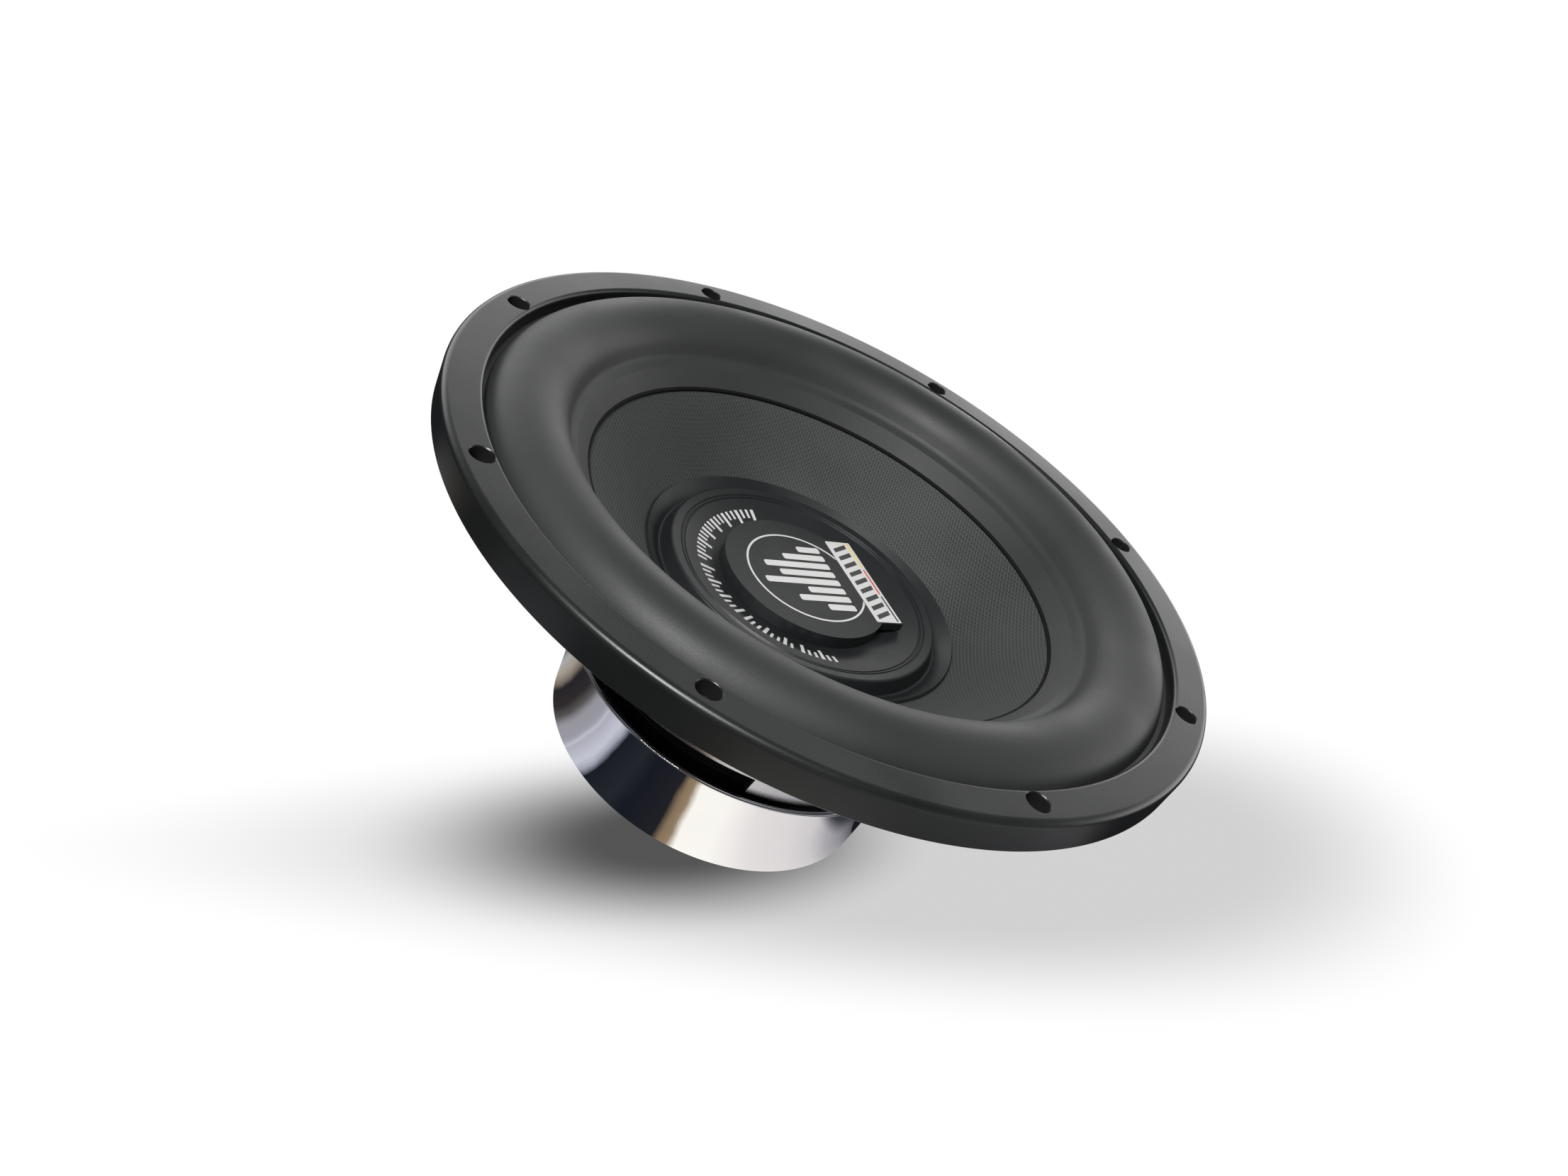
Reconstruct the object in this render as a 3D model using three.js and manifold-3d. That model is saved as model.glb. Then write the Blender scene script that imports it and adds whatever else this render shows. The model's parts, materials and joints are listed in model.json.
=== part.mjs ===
// A twelve-inch car subwoofer, standing on the cover of its magnet with the cone facing up.
// Millimetres. +Z runs up the voice coil's axis and the origin is the middle of the cover's underside.
import * as THREE from 'three';
import { mergeVertices } from 'three/addons/utils/BufferGeometryUtils.js';
import Module from 'manifold-3d';

const wasm = await Module();
wasm.setup();

// ---------------------------------------------------------------- driving dimensions

const RIM_STEPS = 40; // facets round the large pieces
const CORE_STEPS = 28; // facets round the coil, the pole and what fits to them
const HOLE_STEPS = 12; // facets round a hole or a screw

const POST_STEPS = 20; // facets round the terminals' sockets and buttons

const GLUE = 0.1; // bond line between two pieces that are stuck face to face
const RUNNING = 0.4; // clearance round a piece that is dropped into place
const PAST = 1; // how far a cutter runs past the face that it goes through

// Magnet cover, the polished cup that the driver stands on
const COVER_BASE_R = 68.6;
const COVER_RIM_R = 73.2;
const COVER_PROUD = 0.4; // the cover's rim above the top plate
const COVER_SHEET = 1.2;
const COVER_CORNER = 3;
const COVER_BEAD = 1.1;
const VENT_HOLE_R = 12;
const GRILLE_THICKNESS = 1.2;
const GRILLE_SLOT_R = 2.1;
const GRILLE_SLOT_CIRCLE_R = 6.6;

// Motor, stacked up from the cover's floor
const PAD_THICKNESS = 1.5;
const PAD_INNER_R = 40;
const PAD_WIDTH = 18;
const BACK_PLATE_R = 62;
const BACK_PLATE_THICKNESS = 8;
const MAGNET_R = 66;
const MAGNET_BORE_R = 33;
const MAGNET_THICKNESS = 20;
const TOP_PLATE_R = 62;
const TOP_PLATE_THICKNESS = 8;
const POLE_R = 25;
const POLE_VENT_R = 8;
const POLE_PROUD = 2; // the pole's height above the top plate
const PLATE_CHAMFER = 1; // on the back plate's edge and round the pole's top
const VENT_CHAMFER = 2; // round the mouth of the pole's vent

// Voice coil
const FORMER_GAP = 0.7; // between the pole and the former
const FORMER_WALL = 0.5;
const WINDING_WALL = 1.6;
const WINDING_LENGTH = 24;
const WINDING_GAP = 1; // between the winding and the top plate
const FORMER_TAIL = 1.2; // the former's length below the winding
const FORMER_HEAD = 4; // the former's length above the cone's neck
const COLLAR_WALL = 0.6;
const COLLAR_LENGTH = 11;

// Basket
const BASKET_SHEET = 2;
const BASKET_DEPTH = 88.8; // from the basket's seat on the top plate to the face of the trim ring
const BASKET_BORE_R = 38;
const SEAT_CLEAR = 2.4; // between the seat's outer edge and the cover's rim
const SHELF_INNER_R = 76; // the shelf carries the spider
const SHELF_WIDTH = 9;
const SHELF_DROP = 66; // from the trim ring's face down to the shelf
const WALL_TOP_INSET = 24; // from the trim ring's outer edge to the top of the slanted wall
const WALL_TOP_DROP = 15.5;
const FLANGE_INSET = 19.5; // from the trim ring's outer edge to the flange's inner corner
const FLANGE_LIP = 5;
const ARM_COUNT = 4;
const ARM_WIDTH_DEG = 34;
const ARM_TURN_DEG = 36.5; // the first arm's middle, round from +X
const WINDOW_MARGIN = 4;
const SEAT_RIM_R = 58; // the seat's edge between two arms

// Trim ring, the broad moulded ring that covers the flange
const TRIM_OUTER_R = 155;
const TRIM_WIDTH = 15;
const TRIM_THICKNESS = 6;
const TRIM_HEIGHT = 14;
const TRIM_SKIRT = 3.5;
const TRIM_DRAFT = 0.9;
const TRIM_EDGE = 2.2; // radius of the outer edge
const TRIM_INNER_CHAMFER = 1;
const BOLT_COUNT = 8;
const BOLT_INSET = 9.3; // from the trim ring's outer edge to the bolt circle
const TRIM_HOLE_R = 4.4;
const FLANGE_HOLE_R = 3.6;
const REAR_GASKET_THICKNESS = 5;
const REAR_GASKET_WIDTH = 10;

// Surround, the rubber half roll
const SURROUND_LIP = 1.6;
const SURROUND_WALL = 2;
const LIP_INSET = 1.6; // between the lip's edge and the trim ring's skirt
const ROLL_R = 16.2;
const ROLL_CLEAR = 1; // between the roll and the trim ring's inner edge
const ROLL_RISE = 5.1; // the roll's crown above the trim ring's face
const ROLL_START_DEG = 158; // where the roll ends on its inner side, round from its outer side
const BEND_INSET = 1.8; // from the roll's inner end to the bend at its foot
const BEND_DROP = 3.9;
const CREASE_INSET = 20.5; // from the roll's middle to its inner crease
const CREASE_DROP = 10.9;
const BAND_WIDTH = 6;
const BAND_DROP = 5.7;
const BAND_WALL = 1;

// Cone
const CONE_WALL = 1.2;
const NECK_DROP = 60; // from the trim ring's face down to the cone's neck
const NECK_LENGTH = 4;

// Dust cap, from its middle out
const CAP_WALL = 1.2;
const CAP_FLOOR_R = 36;
const CAP_FLOOR_DROP = 40.7;
const CAP_DISH_R = 51.5;
const CAP_DISH_DROP = 36.8;
const CAP_EDGE_R = 55.6;
const CAP_EDGE_DROP = 36.3;
const CAP_FOOT_R = 57.8;
const CAP_FOOT_DROP = 42.9;
const CAP_FLANGE_R = 64.4;
const CAP_FLANGE_DROP = 37.7;
const CAP_BED = 0.6; // glue under the dust cap's flange

// Centre badge: a round plate with a straight bar across one side
const BADGE_R = 34;
const BADGE_THICKNESS = 5.2;
const BAR_NEAR = 21.2;
const BAR_FAR = 34.2;
const BAR_HALF_LENGTH = 24.3;
const BAR_THICKNESS = 3.4; // its ends stand clear of the dish
const BAR_TURN_DEG = 47.1;

// Spider, the corrugated disc that centres the coil
const SPIDER_WALL = 0.9;
const SPIDER_WAVE = 1.8;
const SPIDER_RIPPLES = 3;
const SPIDER_NECK = 3.6;
const SPIDER_INSET = 2.5; // from the last ripple to the shelf
const SPIDER_LAND = 7; // width stuck to the shelf

// Screws that hold the basket on the top plate
const SCREW_COUNT = 6;
const SCREW_CIRCLE_R = 48;
const SCREW_R = 2;
const SCREW_LENGTH = 7.4;
const SCREW_HEAD_R = 4;
const SCREW_HEAD_HEIGHT = 2.6;
const SCREW_HEAD_SLOPE = 1.4; // how far the head narrows towards its top
const SCREW_HEAD_SHOULDER = 1; // the height over which it narrows
const SCREW_TIP_CLEAR = 0.6; // under the tip in its hole
const SCREW_CLEAR = 0.35;

// Terminal block on the second arm, with two sprung push posts
const TERMINAL_ARM = 1;
const BLOCK_GAP = 0.3; // between the boss and the block
const BLOCK_LENGTH = 54; // across the arm
const BLOCK_WIDTH = 24; // up the arm
const BLOCK_BASE = 4;
const BLOCK_CORNER = 4;
const POST_SPACING = 22;
const SOCKET_R = 8.4;
const SOCKET_HEIGHT = 12;
const SOCKET_BORE_R = 6.2;
const SOCKET_FLOOR = 1.6;
const WIRE_HOLE_R = 1.7;
const STEM_R = 5.8;
const STEM_DEPTH = 4; // the stem's length inside the socket at rest
const BUTTON_R = 7.6;
const BUTTON_HEIGHT = 4.5;
const BUTTON_TRAVEL = 4;
const BUTTON_STOP = 0.6; // left under the button at full travel
const BUTTON_CHAMFER = 1;
const SPRING_R = 4;
const SPRING_WIRE_R = 0.5;
const SPRING_TURNS = 4;
const SPRING_TURN_STEPS = 8;
const CONTACT_WIDTH = 5;
const CONTACT_SHEET = 1;
const CONTACT_TAIL = 9; // the length of the tab behind the block
const CONTACT_HEAD = 1; // how far it stands up from the socket's floor
const TAB_END_CLEAR = 0.3;
const TAB_SIDE_CLEAR = 0.4;
const SLOT_LENGTH = 8; // the slot in the basket for a contact tab
const SLOT_WIDTH = 4;
const BOSS_MARGIN = 3; // how far the basket's flat boss shows round the block
const BOSS_ROOT = -2.4;
const BOSS_PROUD = 0.6;
const BLOCK_SCREW_R = 1.5;
const BLOCK_SCREW_HEAD_R = 2.9;
const BLOCK_SCREW_HEAD_HEIGHT = 1.8;
const BLOCK_SCREW_HEAD_SLOPE = 1;
const BLOCK_SCREW_HEAD_SHOULDER = 0.8;
const BLOCK_SCREW_INSET = 3.9; // from the block's end to the screw

// Tinsel leads from the contact tabs to the cone's neck
const LEAD_R = 0.9;
const LEAD_SPREAD = 7; // half the distance between the two leads at the neck
const LEAD_START_GAP = 0.4; // between the tab's end and the lead
const LEAD_STRAIGHT = 4; // the straight length beyond the tab
const LEAD_SAG = 4;
const LEAD_END_CLEAR = 1.6; // between the lead's end and the cone
const LEAD_END_DROP = 1.2; // from the neck down to the lead's end

// ---------------------------------------------------------------- places worked out from them

const coverFloorTop = COVER_SHEET;
const padBottom = coverFloorTop + GLUE;
const backPlateBottom = padBottom + PAD_THICKNESS + GLUE;
const backPlateTop = backPlateBottom + BACK_PLATE_THICKNESS;
const magnetBottom = backPlateTop + GLUE;
const topPlateBottom = magnetBottom + MAGNET_THICKNESS + GLUE;
const topPlateTop = topPlateBottom + TOP_PLATE_THICKNESS;
const poleTop = topPlateTop + POLE_PROUD;
const seatBottom = topPlateTop + GLUE;
const seatTop = seatBottom + BASKET_SHEET;
const coverRimZ = topPlateTop + COVER_PROUD;
const seatOuterR = COVER_RIM_R - COVER_BEAD - COVER_SHEET - SEAT_CLEAR;
const faceZ = seatBottom + BASKET_DEPTH;

const formerInnerR = POLE_R + FORMER_GAP;
const formerOuterR = formerInnerR + FORMER_WALL;
const windingInnerR = formerOuterR + GLUE;
const windingOuterR = windingInnerR + WINDING_WALL;
const gapBoreR = windingOuterR + WINDING_GAP;
const windingMiddle = (topPlateBottom + topPlateTop) / 2;
const windingBottom = windingMiddle - WINDING_LENGTH / 2;
const windingTop = windingMiddle + WINDING_LENGTH / 2;
const formerBottom = windingBottom - FORMER_TAIL;
const neckZ = faceZ - NECK_DROP;
const formerTop = neckZ + FORMER_HEAD;
const neckInnerR = formerOuterR + RUNNING;

const trimInnerR = TRIM_OUTER_R - TRIM_WIDTH;
const boltCircleR = TRIM_OUTER_R - BOLT_INSET;
const skirtInnerR = TRIM_OUTER_R - TRIM_DRAFT - TRIM_SKIRT;
const lipTop = faceZ - TRIM_THICKNESS - GLUE;
const flangeTop = lipTop - SURROUND_LIP - GLUE;
const flangeOuterR = skirtInnerR - RUNNING;
const wallTopR = TRIM_OUTER_R - WALL_TOP_INSET;
const wallTopZ = faceZ - WALL_TOP_DROP;
const flangeInnerR = TRIM_OUTER_R - FLANGE_INSET;
const shelfZ = faceZ - SHELF_DROP;
const shelfOuterR = SHELF_INNER_R + SHELF_WIDTH;

const rollMiddleR = trimInnerR - ROLL_CLEAR - ROLL_R;
const rollMiddleZ = faceZ + ROLL_RISE - ROLL_R;
const creaseR = rollMiddleR - CREASE_INSET;
const creaseZ = faceZ - CREASE_DROP;
const bandR = creaseR - BAND_WIDTH;
const bandZ = creaseZ - BAND_DROP;

// ---------------------------------------------------------------- geometry helpers

const v2 = (x, y) => new THREE.Vector2(x, y);
const radians = THREE.MathUtils.degToRad;

/** Twice the signed area of a closed outline: positive when it runs anticlockwise. */
function outlineTurn(points) {
  return points.reduce((sum, p, i) => sum + p.cross(points[(i + 1) % points.length]), 0);
}

/** Turns an (r, z) outline about Z. It closes on itself, or starts and ends on the axis. */
function lathe(outline, steps) {
  const points = outlineTurn(outline) < 0 ? [...outline].reverse() : [...outline];
  const onAxis = outline.some((p) => p.x === 0);
  if (onAxis) {
    while (!(points[0].x === 0 && points.at(-1).x === 0)) points.push(points.shift());
  } else {
    points.push(points[0].clone());
  }
  return new THREE.LatheGeometry(points, steps).rotateX(Math.PI / 2);
}

/** The outline of a sheet that lies under a path running outwards, with an even thickness. */
function sheet(path, thickness) {
  const under = path.map((point, i) => {
    const before = i > 0 ? point.clone().sub(path[i - 1]).normalize() : null;
    const after = i < path.length - 1 ? path[i + 1].clone().sub(point).normalize() : null;
    const a = before ?? after;
    const b = after ?? before;
    const normal = v2(a.y + b.y, -a.x - b.x).normalize();
    const mitre = thickness / normal.dot(v2(a.y, -a.x));
    const moved = point.clone().addScaledVector(normal, mitre);
    return point.x === 0 ? v2(0, moved.y) : moved;
  });
  return [...path, ...under.reverse()];
}

/** Points along an arc in the (r, z) plane, in degrees from +r. */
function arc(centreR, centreZ, radius, fromDeg, toDeg, steps) {
  return Array.from({ length: steps + 1 }, (_, i) => {
    const angle = radians(fromDeg + ((toDeg - fromDeg) * i) / steps);
    return v2(centreR + radius * Math.cos(angle), centreZ + radius * Math.sin(angle));
  });
}

/** A flat ring, or a disc when the inner radius is 0. */
function ring(innerR, outerR, bottom, top, steps) {
  return lathe([v2(innerR, bottom), v2(outerR, bottom), v2(outerR, top), v2(innerR, top)], steps);
}

/** A closed upright cylinder. */
function rod(radius, bottom, top, steps = HOLE_STEPS) {
  return new THREE.CylinderGeometry(radius, radius, top - bottom, steps)
    .rotateX(Math.PI / 2)
    .translate(0, 0, (top + bottom) / 2);
}

/** A shape pushed up from one height to another. */
function prism(shape, bottom, top, curveSegments = 8) {
  const settings = { depth: top - bottom, bevelEnabled: false, curveSegments };
  return new THREE.ExtrudeGeometry(shape, settings).translate(0, 0, bottom);
}

/** A block between two corners. */
function block(low, high) {
  const size = high.map((value, i) => value - low[i]);
  return new THREE.BoxGeometry(...size).translate(...high.map((value, i) => (value + low[i]) / 2));
}

/** A sector of a ring in plan, as wide as the angle given, about a middle angle. */
function sector(innerR, outerR, middleDeg, widthDeg) {
  const from = radians(middleDeg - widthDeg / 2);
  const to = radians(middleDeg + widthDeg / 2);
  const shape = new THREE.Shape();
  shape.absarc(0, 0, outerR, from, to, false);
  shape.absarc(0, 0, innerR, to, from, true);
  shape.closePath();
  return shape;
}

/** A rectangle with round corners, about the origin. */
function roundedRectangle(width, height, corner) {
  const x = width / 2;
  const y = height / 2;
  const shape = new THREE.Shape();
  shape.absarc(x - corner, y - corner, corner, 0, Math.PI / 2, false);
  shape.absarc(corner - x, y - corner, corner, Math.PI / 2, Math.PI, false);
  shape.absarc(corner - x, corner - y, corner, Math.PI, Math.PI * 1.5, false);
  shape.absarc(x - corner, corner - y, corner, Math.PI * 1.5, Math.PI * 2, false);
  shape.closePath();
  return shape;
}

/** A geometry as a solid for cutting and joining. */
function solid(geometry) {
  const bare = geometry.clone();
  bare.deleteAttribute('normal');
  bare.deleteAttribute('uv');
  const merged = mergeVertices(bare, 1e-4);
  const vertProperties = new Float32Array(merged.getAttribute('position').array);
  const triVerts = new Uint32Array(merged.index.array);
  return new wasm.Manifold(new wasm.Mesh({ numProp: 3, vertProperties, triVerts }));
}

/** A solid back as a geometry. */
function geometryOf(body) {
  const mesh = body.getMesh();
  return new THREE.BufferGeometry()
    .setAttribute('position', new THREE.BufferAttribute(mesh.vertProperties, 3))
    .setIndex(new THREE.BufferAttribute(mesh.triVerts, 1));
}

/** A geometry with others taken out of it. */
function cut(geometry, tools) {
  return geometryOf(tools.reduce((body, tool) => body.subtract(solid(tool)), solid(geometry)));
}

/** Geometries joined into one. */
function join(geometries) {
  return geometryOf(geometries.map(solid).reduce((body, other) => body.add(other)));
}

/** Copies of a geometry on a circle about Z. */
function around(geometry, count, radius, turnDeg = 0) {
  return Array.from({ length: count }, (_, i) => {
    const angle = radians(turnDeg) + (2 * Math.PI * i) / count;
    return geometry.clone().translate(radius * Math.cos(angle), radius * Math.sin(angle), 0);
  });
}

// ---------------------------------------------------------------- finishes

const finish = (color, roughness, metalness) =>
  new THREE.MeshStandardMaterial({ color, roughness, metalness });

const finishes = {
  trimRubber: finish(0x2a2c2d, 0.55, 0),
  surroundRubber: finish(0x26292a, 0.6, 0),
  wovenCone: finish(0x33383a, 0.75, 0),
  capPlastic: finish(0x232628, 0.5, 0),
  zincSteel: finish(0xb9babd, 0.35, 0.9),
  chrome: finish(0xe4e4e8, 0.06, 1),
  blackSteel: finish(0x17181a, 0.45, 0.6),
  ferrite: finish(0x202022, 0.8, 0.1),
  foam: finish(0x141414, 0.95, 0),
  cottonCloth: finish(0x1c1c1e, 0.9, 0),
  kapton: finish(0x8a5a1e, 0.4, 0),
  copper: finish(0xa4552c, 0.35, 0.9),
  blackPlastic: finish(0x101113, 0.5, 0),
  redPlastic: finish(0xa81c1c, 0.4, 0),
  brass: finish(0xb08a3c, 0.3, 1),
  steel: finish(0x9a9da0, 0.35, 1),
  tinselBraid: finish(0xb07a48, 0.45, 0.8),
};

const speaker = new THREE.Group();

/** Adds one named piece to a group. */
function add(name, geometry, material, group = speaker) {
  const mesh = new THREE.Mesh(geometry, material);
  mesh.name = name;
  group.add(mesh);
  return mesh;
}

// ---------------------------------------------------------------- magnet cover and motor

/** The polished cup with its rolled rim and the vent hole in its floor. */
function magnetCover() {
  const outer = [
    v2(VENT_HOLE_R, 0),
    ...arc(COVER_BASE_R - COVER_CORNER, COVER_CORNER, COVER_CORNER, -90, -5, 4),
    v2(COVER_RIM_R - COVER_BEAD, coverRimZ - COVER_BEAD * 2),
    ...arc(COVER_RIM_R - COVER_BEAD, coverRimZ - COVER_BEAD, COVER_BEAD, -60, 90, 4),
  ];
  const inner = [
    v2(COVER_RIM_R - COVER_BEAD - COVER_SHEET, coverRimZ),
    v2(COVER_BASE_R - COVER_SHEET, COVER_CORNER),
    v2(COVER_BASE_R - COVER_CORNER, COVER_SHEET),
    v2(VENT_HOLE_R, COVER_SHEET),
  ];
  return lathe([...outer, ...inner], RIM_STEPS);
}

/** The vent's round grille, with one hole in the middle and six about it. */
function ventGrille() {
  const plate = ring(0, VENT_HOLE_R - RUNNING, 0, GRILLE_THICKNESS, CORE_STEPS);
  const slot = rod(GRILLE_SLOT_R, -PAST, GRILLE_THICKNESS + PAST);
  return cut(plate, [slot, ...around(slot, 6, GRILLE_SLOT_CIRCLE_R)]);
}

/** The back plate and the pole are one turned piece, bored through for the vent. */
function backPlateAndPole() {
  const outline = [
    v2(POLE_VENT_R, backPlateBottom),
    v2(BACK_PLATE_R - PLATE_CHAMFER, backPlateBottom),
    v2(BACK_PLATE_R, backPlateBottom + PLATE_CHAMFER),
    v2(BACK_PLATE_R, backPlateTop),
    v2(POLE_R, backPlateTop),
    v2(POLE_R, poleTop - PLATE_CHAMFER),
    v2(POLE_R - PLATE_CHAMFER, poleTop),
    v2(POLE_VENT_R + VENT_CHAMFER, poleTop),
    v2(POLE_VENT_R, poleTop - VENT_CHAMFER),
  ];
  return lathe(outline, CORE_STEPS);
}

function addMotor() {
  const padOuterR = PAD_INNER_R + PAD_WIDTH;
  const padTop = padBottom + PAD_THICKNESS;
  const pad = ring(PAD_INNER_R, padOuterR, padBottom, padTop, CORE_STEPS);
  const magnetTop = magnetBottom + MAGNET_THICKNESS;
  const magnet = ring(MAGNET_BORE_R, MAGNET_R, magnetBottom, magnetTop, RIM_STEPS);
  const plate = ring(gapBoreR, TOP_PLATE_R, topPlateBottom, topPlateTop, CORE_STEPS);
  const holeBottom = seatTop - SCREW_LENGTH - SCREW_TIP_CLEAR;
  const hole = rod(SCREW_R + SCREW_CLEAR, holeBottom, topPlateTop + PAST);
  const topPlate = cut(plate, around(hole, SCREW_COUNT, SCREW_CIRCLE_R));
  add('magnet_cover', magnetCover(), finishes.chrome);
  add('vent_grille', ventGrille(), finishes.blackPlastic);
  add('cover_pad', pad, finishes.foam);
  add('back_plate_and_pole', backPlateAndPole(), finishes.blackSteel);
  add('magnet_ring', magnet, finishes.ferrite);
  add('top_plate', topPlate, finishes.blackSteel);
}

// ---------------------------------------------------------------- voice coil

function addVoiceCoil() {
  const collarInnerR = formerOuterR + GLUE;
  const collarBottom = windingTop + GLUE;
  const collarTop = collarBottom + COLLAR_LENGTH;
  const collarOuterR = collarInnerR + COLLAR_WALL;
  const former = ring(formerInnerR, formerOuterR, formerBottom, formerTop, CORE_STEPS);
  const winding = ring(windingInnerR, windingOuterR, windingBottom, windingTop, CORE_STEPS);
  const collar = ring(collarInnerR, collarOuterR, collarBottom, collarTop, CORE_STEPS);
  add('coil_former', former, finishes.kapton);
  add('coil_winding', winding, finishes.copper);
  add('former_collar', collar, finishes.kapton);
}

// ---------------------------------------------------------------- basket

/** The inner face of the basket's wall from the seat out to the turned-down lip of its flange. */
const basketPath = [
  v2(BASKET_BORE_R, seatTop),
  v2(seatOuterR, seatTop),
  v2(SHELF_INNER_R, shelfZ),
  v2(shelfOuterR, shelfZ),
  v2(wallTopR, wallTopZ),
  v2(flangeInnerR, flangeTop),
  v2(flangeOuterR, flangeTop),
  v2(flangeOuterR, flangeTop - FLANGE_LIP),
];

const windowDeg = 360 / ARM_COUNT - ARM_WIDTH_DEG;
const windowMiddles = Array.from(
  { length: ARM_COUNT },
  (_, i) => ARM_TURN_DEG + ((i + 0.5) * 360) / ARM_COUNT,
);

const terminalTurn = radians(ARM_TURN_DEG + (TERMINAL_ARM * 360) / ARM_COUNT);

/** The frame of the terminal block: x runs across its arm, y up the arm and z outwards from it. */
function terminalFrame() {
  const slope = Math.atan2(wallTopZ - shelfZ, wallTopR - shelfOuterR);
  const out = new THREE.Vector3(Math.cos(terminalTurn), Math.sin(terminalTurn), 0);
  const up = new THREE.Vector3(0, 0, 1);
  const across = new THREE.Vector3(-Math.sin(terminalTurn), Math.cos(terminalTurn), 0);
  const along = out.clone().multiplyScalar(Math.cos(slope)).addScaledVector(up, Math.sin(slope));
  const normal = out.clone().multiplyScalar(Math.sin(slope)).addScaledVector(up, -Math.cos(slope));
  const origin = out.clone().multiplyScalar((wallTopR + shelfOuterR) / 2);
  origin.addScaledVector(up, (wallTopZ + shelfZ) / 2).addScaledVector(normal, BASKET_SHEET);
  return new THREE.Matrix4().makeBasis(across, along, normal).setPosition(origin);
}

const terminal = terminalFrame();
const onTerminal = (geometry) => geometry.applyMatrix4(terminal);
const postSides = [-1, 1];

/** The slanted wall's flat boss under the terminal block. */
function terminalBoss() {
  const length = BLOCK_LENGTH + BOSS_MARGIN;
  const outline = roundedRectangle(length, BLOCK_WIDTH + BOSS_MARGIN, BLOCK_CORNER);
  return onTerminal(prism(outline, BOSS_ROOT, BOSS_PROUD, 2));
}

/** A slot in the basket for one contact tab. */
function tabSlot(side) {
  const x = (side * POST_SPACING) / 2;
  const low = [x - SLOT_LENGTH / 2, -SLOT_WIDTH / 2, -BASKET_SHEET * 3];
  return onTerminal(block(low, [x + SLOT_LENGTH / 2, SLOT_WIDTH / 2, BOSS_PROUD + PAST]));
}

/** A hole in the basket for one of the terminal block's screws. */
function blockScrewHole(side, bottom, top) {
  const x = side * (BLOCK_LENGTH / 2 - BLOCK_SCREW_INSET);
  return rod(BLOCK_SCREW_R + SCREW_CLEAR, bottom, top).translate(x, 0, 0);
}

/** The stamped basket: seat, lower wall, spider shelf, slanted wall and flange, on four arms. */
function basket() {
  const upperInner = shelfOuterR + WINDOW_MARGIN;
  const upperOuter = wallTopR - WINDOW_MARGIN;
  const lowerOuter = SHELF_INNER_R + PAST;
  const split = shelfZ - WINDOW_MARGIN;
  const windows = windowMiddles.flatMap((middle) => [
    prism(sector(upperInner, upperOuter, middle, windowDeg), split, faceZ, 4),
    prism(sector(SEAT_RIM_R, lowerOuter, middle, windowDeg), seatBottom - PAST, split, 4),
  ]);
  const boltHole = rod(FLANGE_HOLE_R, flangeTop - BASKET_SHEET - PAST, flangeTop + PAST);
  const screwHole = rod(SCREW_R + SCREW_CLEAR, seatBottom - PAST, seatTop + PAST);
  const blockHoles = postSides.map((side) => blockScrewHole(side, -BASKET_SHEET * 3, BOSS_PROUD + PAST));
  const body = join([lathe(sheet(basketPath, BASKET_SHEET), RIM_STEPS), terminalBoss()]);
  return cut(body, [
    ...windows,
    ...around(boltHole, BOLT_COUNT, boltCircleR),
    ...around(screwHole, SCREW_COUNT, SCREW_CIRCLE_R),
    ...postSides.map(tabSlot),
    ...blockHoles.map(onTerminal),
  ]);
}

/** One screw through the basket's seat into the top plate: a round head on a plain shank. */
function seatScrew() {
  const headBottom = seatTop + GLUE;
  const headTop = headBottom + SCREW_HEAD_HEIGHT;
  return lathe(
    [
      v2(0, seatTop - SCREW_LENGTH),
      v2(SCREW_R, seatTop - SCREW_LENGTH),
      v2(SCREW_R, headBottom),
      v2(SCREW_HEAD_R, headBottom),
      v2(SCREW_HEAD_R, headTop - SCREW_HEAD_SHOULDER),
      v2(SCREW_HEAD_R - SCREW_HEAD_SLOPE, headTop),
      v2(0, headTop),
    ],
    HOLE_STEPS,
  );
}

function addBasket() {
  const gasketTop = flangeTop - BASKET_SHEET - GLUE;
  const gasketOuterR = flangeOuterR - BASKET_SHEET - RUNNING;
  const gasketInnerR = gasketOuterR - REAR_GASKET_WIDTH;
  const gasketBottom = gasketTop - REAR_GASKET_THICKNESS;
  const hole = rod(FLANGE_HOLE_R, gasketBottom - PAST, gasketTop + PAST);
  const foam = ring(gasketInnerR, gasketOuterR, gasketBottom, gasketTop, RIM_STEPS);
  add('basket', basket(), finishes.zincSteel);
  add('rear_gasket', cut(foam, around(hole, BOLT_COUNT, boltCircleR)), finishes.foam);
  around(seatScrew(), SCREW_COUNT, SCREW_CIRCLE_R).forEach((geometry, i) => {
    add(`seat_screw_${i + 1}`, geometry, finishes.steel);
  });
}

// ---------------------------------------------------------------- trim ring and surround

/** The broad moulded ring with a skirt that hides the flange, and the bolt holes through its face. */
function trimRing() {
  const bottom = faceZ - TRIM_HEIGHT;
  const outline = [
    v2(trimInnerR, faceZ - TRIM_THICKNESS),
    v2(skirtInnerR, faceZ - TRIM_THICKNESS),
    v2(skirtInnerR, bottom),
    v2(TRIM_OUTER_R - TRIM_DRAFT, bottom),
    ...arc(TRIM_OUTER_R - TRIM_EDGE, faceZ - TRIM_EDGE, TRIM_EDGE, 0, 90, 3),
    v2(trimInnerR + TRIM_INNER_CHAMFER, faceZ),
    v2(trimInnerR, faceZ - TRIM_INNER_CHAMFER),
  ];
  const hole = rod(TRIM_HOLE_R, faceZ - TRIM_THICKNESS - PAST, faceZ + PAST);
  return cut(lathe(outline, RIM_STEPS), around(hole, BOLT_COUNT, boltCircleR));
}

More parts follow.
